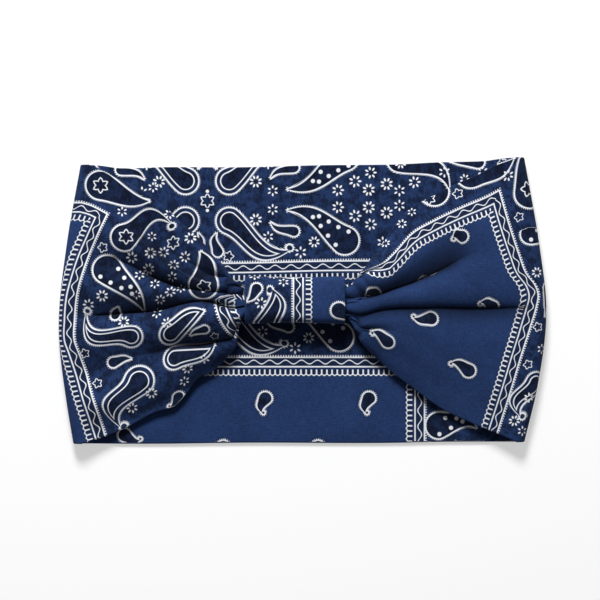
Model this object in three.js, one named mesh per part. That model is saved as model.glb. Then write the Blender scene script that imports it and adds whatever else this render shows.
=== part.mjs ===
// Knotted headband: one long tube of soft jersey laid flat as a loop. Its two gathered ends are
// joined at the front, inside a short wrap of the same cloth. It lies on its back half.
// Millimetres, X across, Y towards the top edge of the band, Z up.

import * as THREE from "three";

// ---- Driving dimensions ----

const plyThickness = 0.8;
const clearance = 0.3;

const overallWidth = 244.5;
const overallDepth = 142.5;

// The turn at each side, where the back half becomes the front half.
const foldHeight = 8.6;
const foldReach = 16.25;

// The short wrap that covers the join.
const wrapLength = 50;
const wrapWidth = 24;
const wrapHeight = 14;
const wrapCentreX = -3.75;
const wrapCentreY = 0.25;

// Gathers of the two lobes.
const pleatCount = 4;
const pleatDepth = 2.4;
const gatherReach = 0.3;

// Sewing thread.
const threadRadius = 0.25;
const seamHeightY = 0.25;
const seamGrooveWidth = 2.4;
const seamGrooveDepth = 0.9;
const seamStitchPitch = 3;
const gatheringTurns = 3;
const endStitchCount = 26;
const closingStitchCount = 13;

// ---- Worked out from them ----

const bandThickness = 2 * plyThickness;
const foldInnerX = overallWidth / 2 - foldReach;
const topLeftY = overallDepth / 2 - 4;
const topRightY = overallDepth / 2;
const bottomLeftY = -overallDepth / 2;
const bottomRightY = -overallDepth / 2 + 1;
const lobeBottom = foldHeight - bandThickness;
const wrapBottom = bandThickness + 2 * clearance + 2 * threadRadius + 0.1;
const wrapMiddleZ = wrapBottom + wrapHeight / 2;
const coreWidth = wrapWidth - 2 * bandThickness - 2 * clearance;
const coreHeight = wrapHeight - 2 * bandThickness - 2 * clearance;
const waistWidth = coreWidth - 4 * threadRadius - 2 * clearance - 0.4;
const waistHeight = coreHeight - 4 * threadRadius - 2 * clearance - 0.4;
const waistHalfLength = 5;

const clothColour = 0x2b3c60;
const threadColour = 0x26324f;

const clothMaterial = () =>
  new THREE.MeshStandardMaterial({ color: clothColour, roughness: 0.9, metalness: 0 });
const threadMaterial = () =>
  new THREE.MeshStandardMaterial({ color: threadColour, roughness: 0.75, metalness: 0 });

// ---- Helpers ----

// Triangles between each ring of points and the next one.
function sideTriangles(ringCount, count, joined) {
  const index = [];
  for (let r = 0; r + (joined ? 0 : 1) < ringCount; r++) {
    const here = r * count;
    const next = ((r + 1) % ringCount) * count;
    for (let i = 0; i < count; i++) {
      const j = (i + 1) % count;
      index.push(here + i, here + j, next + j, here + i, next + j, next + i);
    }
  }
  return index;
}

// The same solid with its faces outward: a closed surface wound inward has a negative volume.
function facingOut(rings, index) {
  const points = rings.flat();
  let volume = 0;
  for (let t = 0; t < index.length; t += 3) {
    const [a, b, c] = [points[index[t]], points[index[t + 1]], points[index[t + 2]]];
    volume += a.dot(new THREE.Vector3().crossVectors(b, c));
  }
  const geometry = new THREE.BufferGeometry();
  const positions = points.flatMap((p) => [p.x, p.y, p.z]);
  geometry.setAttribute("position", new THREE.Float32BufferAttribute(positions, 3));
  geometry.setIndex(volume < 0 ? index.reverse() : index);
  geometry.computeVertexNormals();
  return geometry;
}

// A closed solid through rings of the same count, capped by the flat outline of each end ring.
function loft(rings, flatten) {
  const count = rings[0].length;
  const index = sideTriangles(rings.length, count, false);
  const last = (rings.length - 1) * count;
  for (const [ring, start] of [
    [rings[0], 0],
    [rings[rings.length - 1], last],
  ]) {
    const outline = ring.map(flatten);
    const wound = Math.sign(THREE.ShapeUtils.area(outline));
    for (const [a, b, c] of THREE.ShapeUtils.triangulateShape(outline, [])) {
      const turn = Math.sign(THREE.ShapeUtils.area([outline[a], outline[b], outline[c]]));
      const forward = (turn === wound) === start > 0;
      index.push(start + a, start + (forward ? b : c), start + (forward ? c : b));
    }
  }
  return facingOut(rings, index);
}

// The same for round sections: each end is a fan about its middle.
function roundLoft(rings) {
  const count = rings[0].length;
  const index = sideTriangles(rings.length, count, false);
  const middle = (ring) =>
    ring.reduce((sum, p) => sum.add(p), new THREE.Vector3()).divideScalar(count);
  const last = (rings.length - 1) * count;
  const firstMiddle = rings.length * count;
  for (let i = 0; i < count; i++) {
    const j = (i + 1) % count;
    index.push(firstMiddle, j, i, firstMiddle + 1, last + i, last + j);
  }
  return facingOut([...rings, [middle(rings[0]), middle(rings[rings.length - 1])]], index);
}

// A rounded rectangle in Y and Z, as a ring of points at one X.
function roundedRing(x, width, height, count = 40) {
  const ring = [];
  for (let i = 0; i < count; i++) {
    const angle = (i / count) * 2 * Math.PI;
    const c = Math.cos(angle);
    const s = Math.sin(angle);
    const y = (width / 2) * Math.sign(c) * Math.abs(c) ** 0.6;
    const z = (height / 2) * Math.sign(s) * Math.abs(s) ** 0.6;
    ring.push(new THREE.Vector3(x, wrapCentreY + y, wrapMiddleZ + z));
  }
  return ring;
}

const yzOutline = (p) => new THREE.Vector2(p.y, p.z);
const xzOutline = (p) => new THREE.Vector2(p.z, p.x);

const smooth = (t) => {
  const u = THREE.MathUtils.clamp(t, 0, 1);
  return u * u * (3 - 2 * u);
};

// A round thread along a path, closed at both ends, or joined to itself.
function thread(points, joined = false, sides = 6) {
  const path = new THREE.CatmullRomCurve3(points, joined, "centripetal");
  const steps = points.length * 2;
  if (joined) {
    return new THREE.TubeGeometry(path, steps, threadRadius, sides, true);
  }
  const frames = path.computeFrenetFrames(steps, false);
  const rings = [];
  for (let i = 0; i <= steps; i++) {
    const centre = path.getPointAt(i / steps);
    const ring = [];
    for (let k = 0; k < sides; k++) {
      const angle = (k / sides) * 2 * Math.PI;
      ring.push(
        centre
          .clone()
          .addScaledVector(frames.normals[i], threadRadius * Math.cos(angle))
          .addScaledVector(frames.binormals[i], threadRadius * Math.sin(angle)),
      );
    }
    rings.push(ring);
  }
  return roundLoft(rings);
}

const group = new THREE.Group();
group.name = "knotted_headband";

function addPiece(name, geometry, material) {
  const mesh = new THREE.Mesh(geometry, material);
  mesh.name = name;
  group.add(mesh);
  return mesh;
}

// ---- Back half of the band, with the lengthwise seam's groove on its inner face ----

function backSection(x) {
  const along = (x + foldInnerX) / (2 * foldInnerX);
  const top = THREE.MathUtils.lerp(topLeftY, topRightY - 1.5, along);
  const bottom = THREE.MathUtils.lerp(bottomLeftY + 0.3, bottomRightY, along);
  const half = bandThickness / 2;
  const ring = [];
  for (let i = 0; i <= 6; i++) {
    const angle = -Math.PI / 2 + (i / 6) * Math.PI;
    ring.push([top - half + half * Math.cos(angle), half + half * Math.sin(angle)]);
  }
  const grooveTop = seamHeightY + seamGrooveWidth / 2;
  const grooveBottom = seamHeightY - seamGrooveWidth / 2;
  ring.push([grooveTop, bandThickness]);
  ring.push([grooveTop, bandThickness - seamGrooveDepth]);
  ring.push([grooveBottom, bandThickness - seamGrooveDepth]);
  ring.push([grooveBottom, bandThickness]);
  for (let i = 0; i <= 6; i++) {
    const angle = Math.PI / 2 + (i / 6) * Math.PI;
    ring.push([bottom + half + half * Math.cos(angle), half + half * Math.sin(angle)]);
  }
  return ring.map(([y, z]) => new THREE.Vector3(x, y, z));
}

const backRings = [];
for (let i = 0; i <= 8; i++) {
  backRings.push(backSection(THREE.MathUtils.lerp(-foldInnerX, foldInnerX, i / 8)));
}
addPiece("back_panel", loft(backRings, yzOutline), clothMaterial());

// The seam's thread zigzags in the groove.
const seamPoints = [];
const seamSteps = Math.floor((2 * foldInnerX - 4) / seamStitchPitch);
for (let i = 0; i <= seamSteps; i++) {
  seamPoints.push(
    new THREE.Vector3(
      (i - seamSteps / 2) * seamStitchPitch,
      seamHeightY + (i % 2 ? 0.5 : -0.5),
      bandThickness - seamGrooveDepth + clearance + threadRadius,
    ),
  );
}
addPiece("lengthwise_seam_thread", thread(seamPoints, false, 5), threadMaterial());

// ---- Side folds: each turns the band over from the back half to the front half ----

function sideFold(side, edgePoints) {
  const edge = new THREE.SplineCurve(edgePoints.map(([x, y]) => new THREE.Vector2(x, y)));
  const rings = edge.getPoints(28).map((p) => {
    const inner = foldInnerX + clearance;
    const outer = foldHeight / 2;
    const hollow = outer - bandThickness;
    const centre = Math.max(Math.abs(p.x) - outer, inner + clearance);
    const outerReach = Math.abs(p.x) - centre;
    const hollowReach = outerReach - bandThickness;
    const outline = [[inner, 0]];
    for (let i = 0; i <= 14; i++) {
      const angle = -Math.PI / 2 + (i / 14) * Math.PI;
      outline.push([centre + outerReach * Math.cos(angle), outer + outer * Math.sin(angle)]);
    }
    outline.push([inner, foldHeight]);
    outline.push([inner, foldHeight - bandThickness]);
    for (let i = 14; i >= 0; i--) {
      const angle = -Math.PI / 2 + (i / 14) * Math.PI;
      outline.push([centre + hollowReach * Math.cos(angle), outer + hollow * Math.sin(angle)]);
    }
    outline.push([inner, bandThickness]);
    return outline.map(([x, z]) => new THREE.Vector3(side * x, p.y, z));
  });
  return loft(rings, xzOutline);
}

const halfWidth = overallWidth / 2;
addPiece(
  "left_side_fold",
  sideFold(-1, [
    [-halfWidth + 11, topLeftY],
    [-halfWidth + 4.5, 27.5],
    [-halfWidth, -14.5],
    [-halfWidth + 7.5, bottomLeftY],
  ]),
  clothMaterial(),
);
addPiece(
  "right_side_fold",
  sideFold(1, [
    [halfWidth - 11, bottomRightY],
    [halfWidth - 5, -44.5],
    [halfWidth, -2.5],
    [halfWidth - 3.5, 25.5],
    [halfWidth - 11, topRightY],
  ]),
  clothMaterial(),
);

// ---- Front lobes: each fans out from the gathered bundle to the full width at its fold ----

function lobe(side, topAtFold, bottomAtFold, topPower, bottomPower) {
  const wrapEnd = wrapCentreX + (side * wrapLength) / 2 + side * clearance;
  const foldEnd = side * foldInnerX - side * clearance;
  const rings = [];
  const stations = 26;
  const across = 32;
  for (let i = 0; i <= stations; i++) {
    const tau = i / stations;
    const x = THREE.MathUtils.lerp(wrapEnd, foldEnd, tau);
    const top = THREE.MathUtils.lerp(wrapCentreY + coreWidth / 2, topAtFold, tau ** topPower);
    const bottom = THREE.MathUtils.lerp(
      wrapCentreY - coreWidth / 2,
      bottomAtFold,
      tau ** bottomPower,
    );
    const opened = smooth(tau / gatherReach);
    const under = THREE.MathUtils.lerp(wrapMiddleZ - coreHeight / 2, lobeBottom, opened);
    const thick = THREE.MathUtils.lerp(coreHeight, bandThickness, 1 - (1 - tau) ** 1.8);
    const pleat = pleatDepth * smooth(tau / 0.15) * (1 - smooth((tau - 0.2) / 0.7));
    const upper = [];
    const lower = [];
    for (let k = 0; k <= across; k++) {
      const v = k / across;
      const y = THREE.MathUtils.lerp(bottom, top, v);
      const round = Math.sqrt(1 - Math.abs(2 * v - 1) ** 5);
      const wave = pleat * (0.5 - 0.5 * Math.cos(2 * Math.PI * pleatCount * v));
      const height = Math.max(thick - wave, bandThickness) * round;
      const rise = ((1 - round) * thick) / 2;
      lower.push(new THREE.Vector3(x, y, under + rise));
      if (k > 0 && k < across) {
        upper.push(new THREE.Vector3(x, y, under + rise + height));
      }
    }
    rings.push([...upper, ...lower.reverse()]);
  }
  return roundLoft(rings);
}

addPiece(
  "left_front_lobe",
  lobe(-1, topLeftY - 1, bottomLeftY + 1.5, 0.62, 0.75),
  clothMaterial(),
);
addPiece(
  "right_front_lobe",
  lobe(1, topRightY - 2.5, bottomRightY + 2.5, 0.62, 0.72),
  clothMaterial(),
);

// ---- Inside the wrap: the two gathered ends of the band, butted at the end seam ----

const wrapLeftX = wrapCentreX - wrapLength / 2;
const wrapRightX = wrapCentreX + wrapLength / 2;

function gatheredEnd(from, to) {
  const rings = [];
  for (let i = 0; i <= 14; i++) {
    const x = THREE.MathUtils.lerp(from, to, i / 14);
    const waist = 1 - smooth((Math.abs(x - wrapCentreX) - waistHalfLength) / 3);
    rings.push(
      roundedRing(
        x,
        THREE.MathUtils.lerp(coreWidth, waistWidth, waist),
        THREE.MathUtils.lerp(coreHeight, waistHeight, waist),
      ),
    );
  }
  return roundLoft(rings);
}

addPiece("left_gathered_end", gatheredEnd(wrapLeftX, wrapCentreX - clearance / 2), clothMaterial());
addPiece(
  "right_gathered_end",
  gatheredEnd(wrapCentreX + clearance / 2, wrapRightX),
  clothMaterial(),
);

// A point on a ring that clears the waist, at a turn of 0 to 1 round the bundle.
function roundWaist(x, turn) {
  const grow = 2 * clearance + 2 * threadRadius;
  const ring = roundedRing(x, waistWidth + grow, waistHeight + grow, 80);
  const place = (turn - Math.floor(turn)) * ring.length;
  const from = ring[Math.floor(place) % ring.length];
  const to = ring[(Math.floor(place) + 1) % ring.length];
  return from.clone().lerp(to, place - Math.floor(place));
}

// Whip stitches across the end seam, all the way round.
const endPoints = [];
for (let i = 0; i < 2 * endStitchCount; i++) {
  const x = wrapCentreX + (i % 2 ? 1.1 : -1.1);
  endPoints.push(roundWaist(x, i / (2 * endStitchCount)));
}
addPiece("end_seam_stitches", thread(endPoints, true, 5), threadMaterial());

// The gathering thread, wound round the bundle beside the end seam.
const gatherPoints = [];
const pointsPerTurn = 40;
for (let i = 0; i <= gatheringTurns * pointsPerTurn; i++) {
  const turn = i / pointsPerTurn;
  gatherPoints.push(roundWaist(wrapCentreX + 2.2 + turn * 0.85, turn));
}
addPiece("gathering_thread", thread(gatherPoints, false, 5), threadMaterial());

// ---- The wrap: a short strip of doubled cloth closed round the bundle ----

function wrapBand() {
  const rings = [];
  const outerCount = 44;
  const bulge = 0.5;
  for (let i = 0; i <= 12; i++) {
    const t = i / 12;
    const x = THREE.MathUtils.lerp(wrapLeftX, wrapRightX, t);
    const swell = bulge * (1 - Math.sin(Math.PI * t));
    rings.push(roundedRing(x, wrapWidth - swell, wrapHeight - swell, outerCount));
  }
  for (let i = 12; i >= 0; i--) {
    const x = THREE.MathUtils.lerp(wrapLeftX, wrapRightX, i / 12);
    const inner = 2 * clearance;
    rings.push(roundedRing(x, coreWidth + inner, coreHeight + inner, outerCount));
  }
  return facingOut(rings, sideTriangles(rings.length, outerCount, true));
}
addPiece("centre_wrap", wrapBand(), clothMaterial());

// Ladder stitches close the wrap on its underside.
const closingPoints = [];
for (let i = 0; i <= 2 * closingStitchCount; i++) {
  closingPoints.push(
    new THREE.Vector3(
      wrapCentreX + (i / closingStitchCount - 1) * (wrapLength / 2 - 3),
      wrapCentreY - 5 + (i % 2 ? 0.9 : -0.9),
      wrapBottom - clearance - threadRadius,
    ),
  );
}
addPiece("wrap_closing_stitches", thread(closingPoints, false, 5), threadMaterial());

export default group;
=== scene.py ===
# Knotted headband in printed jersey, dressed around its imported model.
import bpy
import math
import numpy as np
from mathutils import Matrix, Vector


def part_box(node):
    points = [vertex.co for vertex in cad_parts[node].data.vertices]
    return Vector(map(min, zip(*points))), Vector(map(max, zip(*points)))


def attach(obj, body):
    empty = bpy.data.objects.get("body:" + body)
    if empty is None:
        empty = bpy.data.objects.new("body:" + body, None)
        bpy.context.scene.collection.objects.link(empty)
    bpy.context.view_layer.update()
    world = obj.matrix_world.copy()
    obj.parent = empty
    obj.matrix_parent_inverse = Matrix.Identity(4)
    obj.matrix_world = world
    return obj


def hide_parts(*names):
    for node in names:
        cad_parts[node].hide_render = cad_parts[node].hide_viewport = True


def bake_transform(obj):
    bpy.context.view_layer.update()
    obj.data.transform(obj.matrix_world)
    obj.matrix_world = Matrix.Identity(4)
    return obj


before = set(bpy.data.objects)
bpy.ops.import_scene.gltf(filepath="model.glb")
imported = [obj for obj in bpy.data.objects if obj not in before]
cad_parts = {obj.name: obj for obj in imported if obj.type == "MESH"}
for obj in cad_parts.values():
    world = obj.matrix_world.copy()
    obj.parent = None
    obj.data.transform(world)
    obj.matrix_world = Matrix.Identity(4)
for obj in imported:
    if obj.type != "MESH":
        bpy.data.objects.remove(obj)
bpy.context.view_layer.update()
mm = 0.001  # lengths below are in millimetres, and are turned to metres when a mesh is made


def millimetres(node):
    low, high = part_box(node)
    return np.array(low) / mm, np.array(high) / mm


wrapLow, wrapHigh = millimetres("centre_wrap")
sideFoldHigh = millimetres("left_side_fold")[1]
print("frame loaded")


class Term:  # a node's output that can be used in a sum
    def __init__(self, sketch, socket):
        self.sketch, self.socket = sketch, socket

    def __add__(self, other):
        return self.sketch.math("ADD", self, other)

    def __sub__(self, other):
        return self.sketch.math("SUBTRACT", self, other)

    def __rsub__(self, other):
        return self.sketch.math("SUBTRACT", other, self)

    def __mul__(self, other):
        return self.sketch.math("MULTIPLY", self, other)

    def __truediv__(self, other):
        return self.sketch.math("DIVIDE", self, other)


class Sketch:  # short ways to place nodes in one tree
    def __init__(self, tree):
        self.tree = tree

    def feed(self, made, values):
        # what goes into a node, by the number or the name of each input
        for key, value in values.items():
            value = value.socket if isinstance(value, Term) else value
            if isinstance(value, bpy.types.NodeSocket):
                self.tree.links.new(value, made.inputs[key])
            else:
                made.inputs[key].default_value = value

    def node(self, kind, values=None, **settings):
        made = self.tree.nodes.new(kind)
        for name, value in settings.items():
            setattr(made, name, value)
        self.feed(made, values or {})
        return made

    def terms(self, made):
        return [Term(self, socket) for socket in made.outputs]

    def math(self, operation, *values, clamp=False):
        values = dict(enumerate(values))
        return self.terms(self.node("ShaderNodeMath", values, operation=operation, use_clamp=clamp))[0]

    def ramp(self, *values):
        # value, from low, from high, to low, to high
        values = dict(enumerate(values))
        return self.terms(self.node("ShaderNodeMapRange", values, interpolation_type="SMOOTHSTEP"))[0]

    def split(self, vector):
        return self.terms(self.node("ShaderNodeSeparateXYZ", {0: vector}))

    def join(self, *values):
        return self.node("ShaderNodeCombineXYZ", dict(enumerate(values))).outputs[0]

    def noise(self, vector, scale, detail, roughness):
        values = {"Vector": vector, "Scale": scale, "Detail": detail, "Roughness": roughness}
        return self.terms(self.node("ShaderNodeTexNoise", values))[0]

    def mix(self, share, first, second):
        return self.node("ShaderNodeMix", {0: share, 6: first, 7: second}, data_type="RGBA").outputs[2]

    def group(self, tree, *values):
        return self.terms(self.node("ShaderNodeGroup", dict(enumerate(values)), node_tree=tree))

    def reach(self, x, y):
        return self.math("SQRT", x * x + y * y)

    def line(self, distance, half, soft=0.12):
        # 1 on a line of that half width, fading over the soft edge
        return self.ramp(self.math("ABSOLUTE", distance), half + soft, half - soft)

    def most(self, *values):
        result = values[0]
        for value in values[1:]:
            result = self.math("MAXIMUM", result, value)
        return result


vectorSocket = "NodeSocketVector"
floatSocket = "NodeSocketFloat"


def newGroup(name, inputs, outputs):
    tree = bpy.data.node_groups.new(name, "ShaderNodeTree")
    for label, kind in inputs.items():
        tree.interface.new_socket(label, in_out="INPUT", socket_type=kind)
    for label in outputs:
        tree.interface.new_socket(label, in_out="OUTPUT", socket_type=floatSocket)
    k = Sketch(tree)
    return tree, k, k.node("NodeGroupInput").outputs, k.node("NodeGroupOutput")


def newMaterial(name):
    material = bpy.data.materials.new(name)
    material.use_nodes = True
    return material, Sketch(material.node_tree), material.node_tree.nodes["Principled BSDF"]


def newObject(name, data):
    made = bpy.data.objects.new(name, data)
    bpy.context.scene.collection.objects.link(made)
    return made


# The print repeats in both directions: plain windows between bands of paisley. A place in it is
# folded to (a, b): the distances from the middle of the upright band and of the level band.
printLayout = {
    "period": 288.0,       # from one upright band to the next
    "bandAcross": 32.25,   # half the width of an upright band
    "bandDown": 31.25,     # half the height of a level band
    "lineHalf": 0.36,      # half the width of a printed line
    "tickPitch": 1.3,      # the fine ticks outside a border
    "waveDepth": 2.4,      # where the wavy line runs in a border, from its outer line
    "waveHigh": 0.95,
    "wavePitch": 8.0,
    "innerLine": 4.75,
    "combDepth": 8.8,      # where the teeth end
    "combPitch": 2.6,
    "dropStart": 22.0,     # from a window's edge to its first row of drops
    "dropEnd": 172.0,
    "dropStep": 52.0,      # between the drops of a row in a window
    "dropRow": 24.5,       # between rows
    "tipRadius": 0.45,
    "bendShare": 6.75,     # makes a paisley's bend the most that its middle line stands aside
    "dotStep": 5.6,        # between the dots in a dotted paisley
    "dotInset": 2.3,       # from its edge to the dots
}

halfPeriod = printLayout["period"] / 2
bandA = printLayout["bandAcross"]
bandB = printLayout["bandDown"]

single, double, dotted = 1, 2, 3
hookMark = 10    # added to the style of a paisley with a hooked tip
apart = 1000.0   # sets places apart from the others on the same cloth
farAway = 900.0  # from any motif

# Motifs that repeat in the folded print, on the back of the band. Where a is 0 or less, it is
# measured from the line half a period away, at which the print is mirrored.
# head (a, b), tip (a, b), head radius, bend, style, hooked tip, side: 0 both, -1 under face, 1 inner face
repeatingPaisleys = [
    # level band
    ((-11, 10), (-41, 25.5), 6.7, -6.0, double, True, 0),
    ((-43.5, 16), (-32, 11.5), 2.7, 1.4, single, False, 0),
    ((-69, 21), (-40.5, 5.3), 7.2, -3.6, dotted, False, 0),
    ((42.0, 24.4), (15.0, 28.5), 6.4, -3.2, single, False, -1),
    ((-5.2, 25.4), (-4.4, 16.6), 2.8, 1.4, single, False, 0),
    # upright band
    ((19, 44.5), (3.4, 38), 7.4, 6.0, single, True, -1),
    ((19.8, 60.8), (2.6, 80), 7.3, 2.5, dotted, False, -1),
    ((12.6, 83.5), (12.0, 76.5), 2.5, 0.4, single, False, -1),
    ((8.2, 95.5), (25.0, 82), 6.0, 6.0, double, True, -1),
    ((17.2, 105.6), (6.0, 103), 2.9, -1.2, single, False, -1),
    ((8.4, 113.5), (25.2, 138), 5.9, 6.0, double, True, -1),
    ((25.0, 65.5), (6.5, 66.5), 6.8, 3.2, dotted, False, 1),
    ((9.0, 85), (24.5, 98), 6.0, 6.0, double, True, 1),
]
# a, b, petals (0 a dot, below 0 a star of that many points), size, side
repeatingSprigs = [
    (0, 0, -6, 1.2, 0), (0, 4.8, 0, 0.8, 0), (-10.6, 27.8, -5, 0.9, 0), (-24.3, 9.6, 8, 1.1, 0),
    (-32.8, 4.7, 6, 0.95, 0), (-30.5, 18.3, 6, 0.95, 0), (-46.8, 26.6, 6, 1.05, 0),
    (-53.6, 21.5, 8, 1.0, 0), (-65.6, 4.3, 7, 1.05, 0), (-74.2, 8.7, 7, 1.1, 0),
    (-81.0, 4.4, 8, 1.1, 0), (-82.0, 13.0, 7, 1.05, 0), (-90.0, 7.2, 8, 1.1, 0),
    (-96.4, 3.7, 6, 1.0, 0), (-104.0, 7.6, 7, 1.05, 0), (-88.0, 22.0, 6, 1.0, 0),
    (-97.0, 17.5, 8, 1.0, 0), (-100.0, 26.5, -5, 0.9, 1), (42.0, 24.2, -6, 1.2, -1),
    (18.5, 3.2, -5, 0.9, 0), (25.0, 12.0, 6, 1.0, -1), (14.8, 8.2, 7, 0.9, 0),
    (5.8, 11.8, 6, 0.9, 0), (4.5, 19.5, 7, 1.0, 0), (13.0, 20.0, 6, 0.95, 0),
    (26.0, 27.0, -5, 0.9, 1), (19, 44.2, -6, 1.3, -1), (26.8, 51.0, -5, 0.9, -1),
    (3.0, 48.5, 6, 1.0, -1), (9.8, 53.5, 7, 1.05, -1), (2.6, 57.0, 8, 1.05, -1),
    (8.0, 61.5, 6, 0.9, -1), (3.2, 67.0, 7, 0.95, -1), (20.0, 73.5, 7, 1.1, -1),
    (27.6, 77.5, 6, 1.05, -1), (7.0, 86.5, 7, 1.0, -1), (27.8, 101.0, -5, 0.9, -1),
    (27.4, 116.0, -5, 0.9, -1), (4.2, 123.5, 7, 1.0, -1), (13.5, 129.0, 6, 0.95, -1),
    (4.5, 42.0, 6, 1.0, 1), (7.0, 51.0, 8, 1.0, 1), (26.5, 38.0, -5, 0.9, 1), (16.0, 75.5, 7, 1.0, 1),
]


def unmirrored(a):
    return halfPeriod + a if a <= 0 else a


paisleys = [
    ((unmirrored(head[0]), head[1]), (unmirrored(tip[0]), tip[1]), *rest)
    for head, tip, *rest in repeatingPaisleys
]
sprigs = [(unmirrored(a), *rest) for a, *rest in repeatingSprigs]
dropRows = np.arange(bandB + printLayout["dropStart"], printLayout["dropEnd"], printLayout["dropRow"])
for row, b in enumerate(dropRows):
    first = bandA + (29 if row % 2 == 0 else 55)  # every other row is shifted
    for a in np.arange(first, halfPeriod - 8, printLayout["dropStep"]):
        paisleys.append(((a, b - 2.0), (a + 1.4, b + 5.2), 3.6, -1.2, single, True, -1))


def bentAxis(x, length, bend):
    # how far a paisley's middle line stands aside, at x along it
    t = np.clip(x / length, 0, 1)
    return printLayout["bendShare"] * bend * t * t * (1 - t)


def motifFrame(head, tip):
    # a motif's origin, the directions along and across it, and its length
    along = np.array(tip, float) - np.array(head, float)
    length = np.hypot(*along)
    along = along / length
    return np.array(head, float), along, np.array([-along[1], along[0]]), length


def dotsInside(motif):
    # rows of dots along both edges of a dotted paisley
    head, tip, radius, bend, _, _, side = motif
    spots = []
    origin, along, aside, length = motifFrame(head, tip)
    for hand, first in ((-1, 0.5), (1, 3.0)):
        for x in np.arange(first, length * 0.72, printLayout["dotStep"]):
            width = radius + (printLayout["tipRadius"] - radius) * x / length - printLayout["dotInset"]
            if width >= 0.4:
                spot = origin + along * x + aside * (bentAxis(x, length, bend) + hand * width)
                spots.append((spot[0], spot[1], 0, 1.0, side))
    return spots


for motif in paisleys:
    if motif[4] == dotted:
        sprigs += dotsInside(motif)


def paisleyDistance(x, y, radius, length, bend):
    tipRadius = printLayout["tipRadius"]
    y = np.abs(y - bentAxis(x, length, bend))
    slope = (radius - tipRadius) / length
    run = math.sqrt(1 - slope * slope)
    k = -slope * y + run * x
    beyond = np.where(k > run * length, np.hypot(x - length, y) - tipRadius, run * y + slope * x - radius)
    return np.where(k < 0, np.hypot(x, y) - radius, beyond)


def printPlaces(corners, ownPaisleys, ownSprigs, repeats):
    # What the print needs at each corner of each four-sided face. corners: the cloth place (s, v) of
    # each, and on the lobes and the back a second place that the piece's own motifs follow.
    faceCount = len(corners)
    places = corners[:, :, :2]
    ownPlaces = corners[:, :, -2:]
    middle = places.mean(axis=1)
    period = printLayout["period"]
    turn = np.round(middle[:, 0] / period)
    handA = np.where(middle[:, 0] - period * turn < 0, -1.0, 1.0)
    handB = np.where(middle[:, 1] < 0, -1.0, 1.0)
    folded = np.zeros((faceCount, 4, 3))
    folded[:, :, 0] = (places[:, :, 0] - period * turn[:, None]) * handA[:, None]
    folded[:, :, 1] = places[:, :, 1] * handB[:, None]

    # round the side folds the back carries the lobes' motifs, in places set apart from its own
    setApart = np.all(ownPlaces[:, :, 0] > apart / 2, axis=1)
    split = np.ptp(ownPlaces[:, :, 0], axis=1) > apart / 2
    sets = [(ownPlaces, ownPaisleys, ownSprigs, ~split)]
    if repeats:
        sets.append((folded[:, :, :2], paisleys, sprigs, ~setApart))

    def closer(distance, side, used):
        # the faces to which this motif is the nearest so far
        distance = np.where(handB == side, distance, 1e6) if side else distance
        near = (distance < nearest) & used
        nearest[near] = distance[near]
        return near

    nearest = np.full(faceCount, 1e9)
    place = np.zeros((faceCount, 4, 3))
    place[:, :, 0] = farAway
    shape = np.tile(np.array([1.0, 10.0, 0.0]), (faceCount, 4, 1))
    for ground, motifs, _, used in sets:
        centre = ground.mean(axis=1)
        for head, tip, radius, bend, style, hooked, side in motifs:
            origin, along, aside, length = motifFrame(head, tip)
            offset = centre - origin
            distance = paisleyDistance(offset @ along, offset @ aside, radius, length, bend)
            near = closer(distance, side, used)
            local = ground[near] - origin
            place[near, :, 0] = local @ along
            place[near, :, 1] = local @ aside
            place[near, :, 2] = style + (hookMark if hooked else 0)
            shape[near] = (radius, length, bend)

    nearest[:] = 1e9
    sprig = np.zeros((faceCount, 4, 3))
    sprig[:, :, 0] = farAway
    for ground, _, motifs, used in sets:
        centre = ground.mean(axis=1)
        for a, b, petals, size, side in motifs:
            offset = centre - (a, b)
            near = closer(np.hypot(offset[:, 0], offset[:, 1]) - 3.0 * size, side, used)
            sprig[near, :, :2] = (ground[near] - (a, b)) / size
            sprig[near, :, 2] = petals
    return {"folded": folded, "motifPlace": place, "motifShape": shape, "sprigPlace": sprig}


def placedMotifs(outer, places, motifs, spots):
    # Motifs given by where they are seen on a piece (x, y), turned into places on its cloth.
    # Paisleys: head x, y, tip x, y, radius, bend, style, hooked, and where one is partly hidden,
    # a seen point x, y. Spots: x, y, petals, size.
    normal = gridNormals(outer)
    facing = normal[:, :, 2] * np.sign(np.median(normal[:, :, 2])) > 0.15
    seen, where = outer[facing][:, :2], places[facing]

    def clothAt(x, y):
        return where[np.argmin((seen[:, 0] - x) ** 2 + (seen[:, 1] - y) ** 2)]

    ownPaisleys, ownSprigs = [], []
    for headX, headY, tipX, tipY, radius, bend, style, hooked, *held in motifs:
        head, tip = clothAt(headX, headY), clothAt(tipX, tipY)
        if held:  # partly out of sight in a crease: placed from a point that is seen
            heldAt = clothAt(*held)
            head = heldAt + (headX - held[0], headY - held[1])
            tip = heldAt + (tipX - held[0], tipY - held[1])
        motif = (tuple(head), tuple(tip), radius, bend, style, hooked, 0)
        ownPaisleys.append(motif)
        if style == dotted:
            ownSprigs += dotsInside(motif)
    for x, y, petals, size in spots:
        s, v = clothAt(x, y)
        ownSprigs.append((s, v, petals, size, 0))
    return ownPaisleys, ownSprigs


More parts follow.
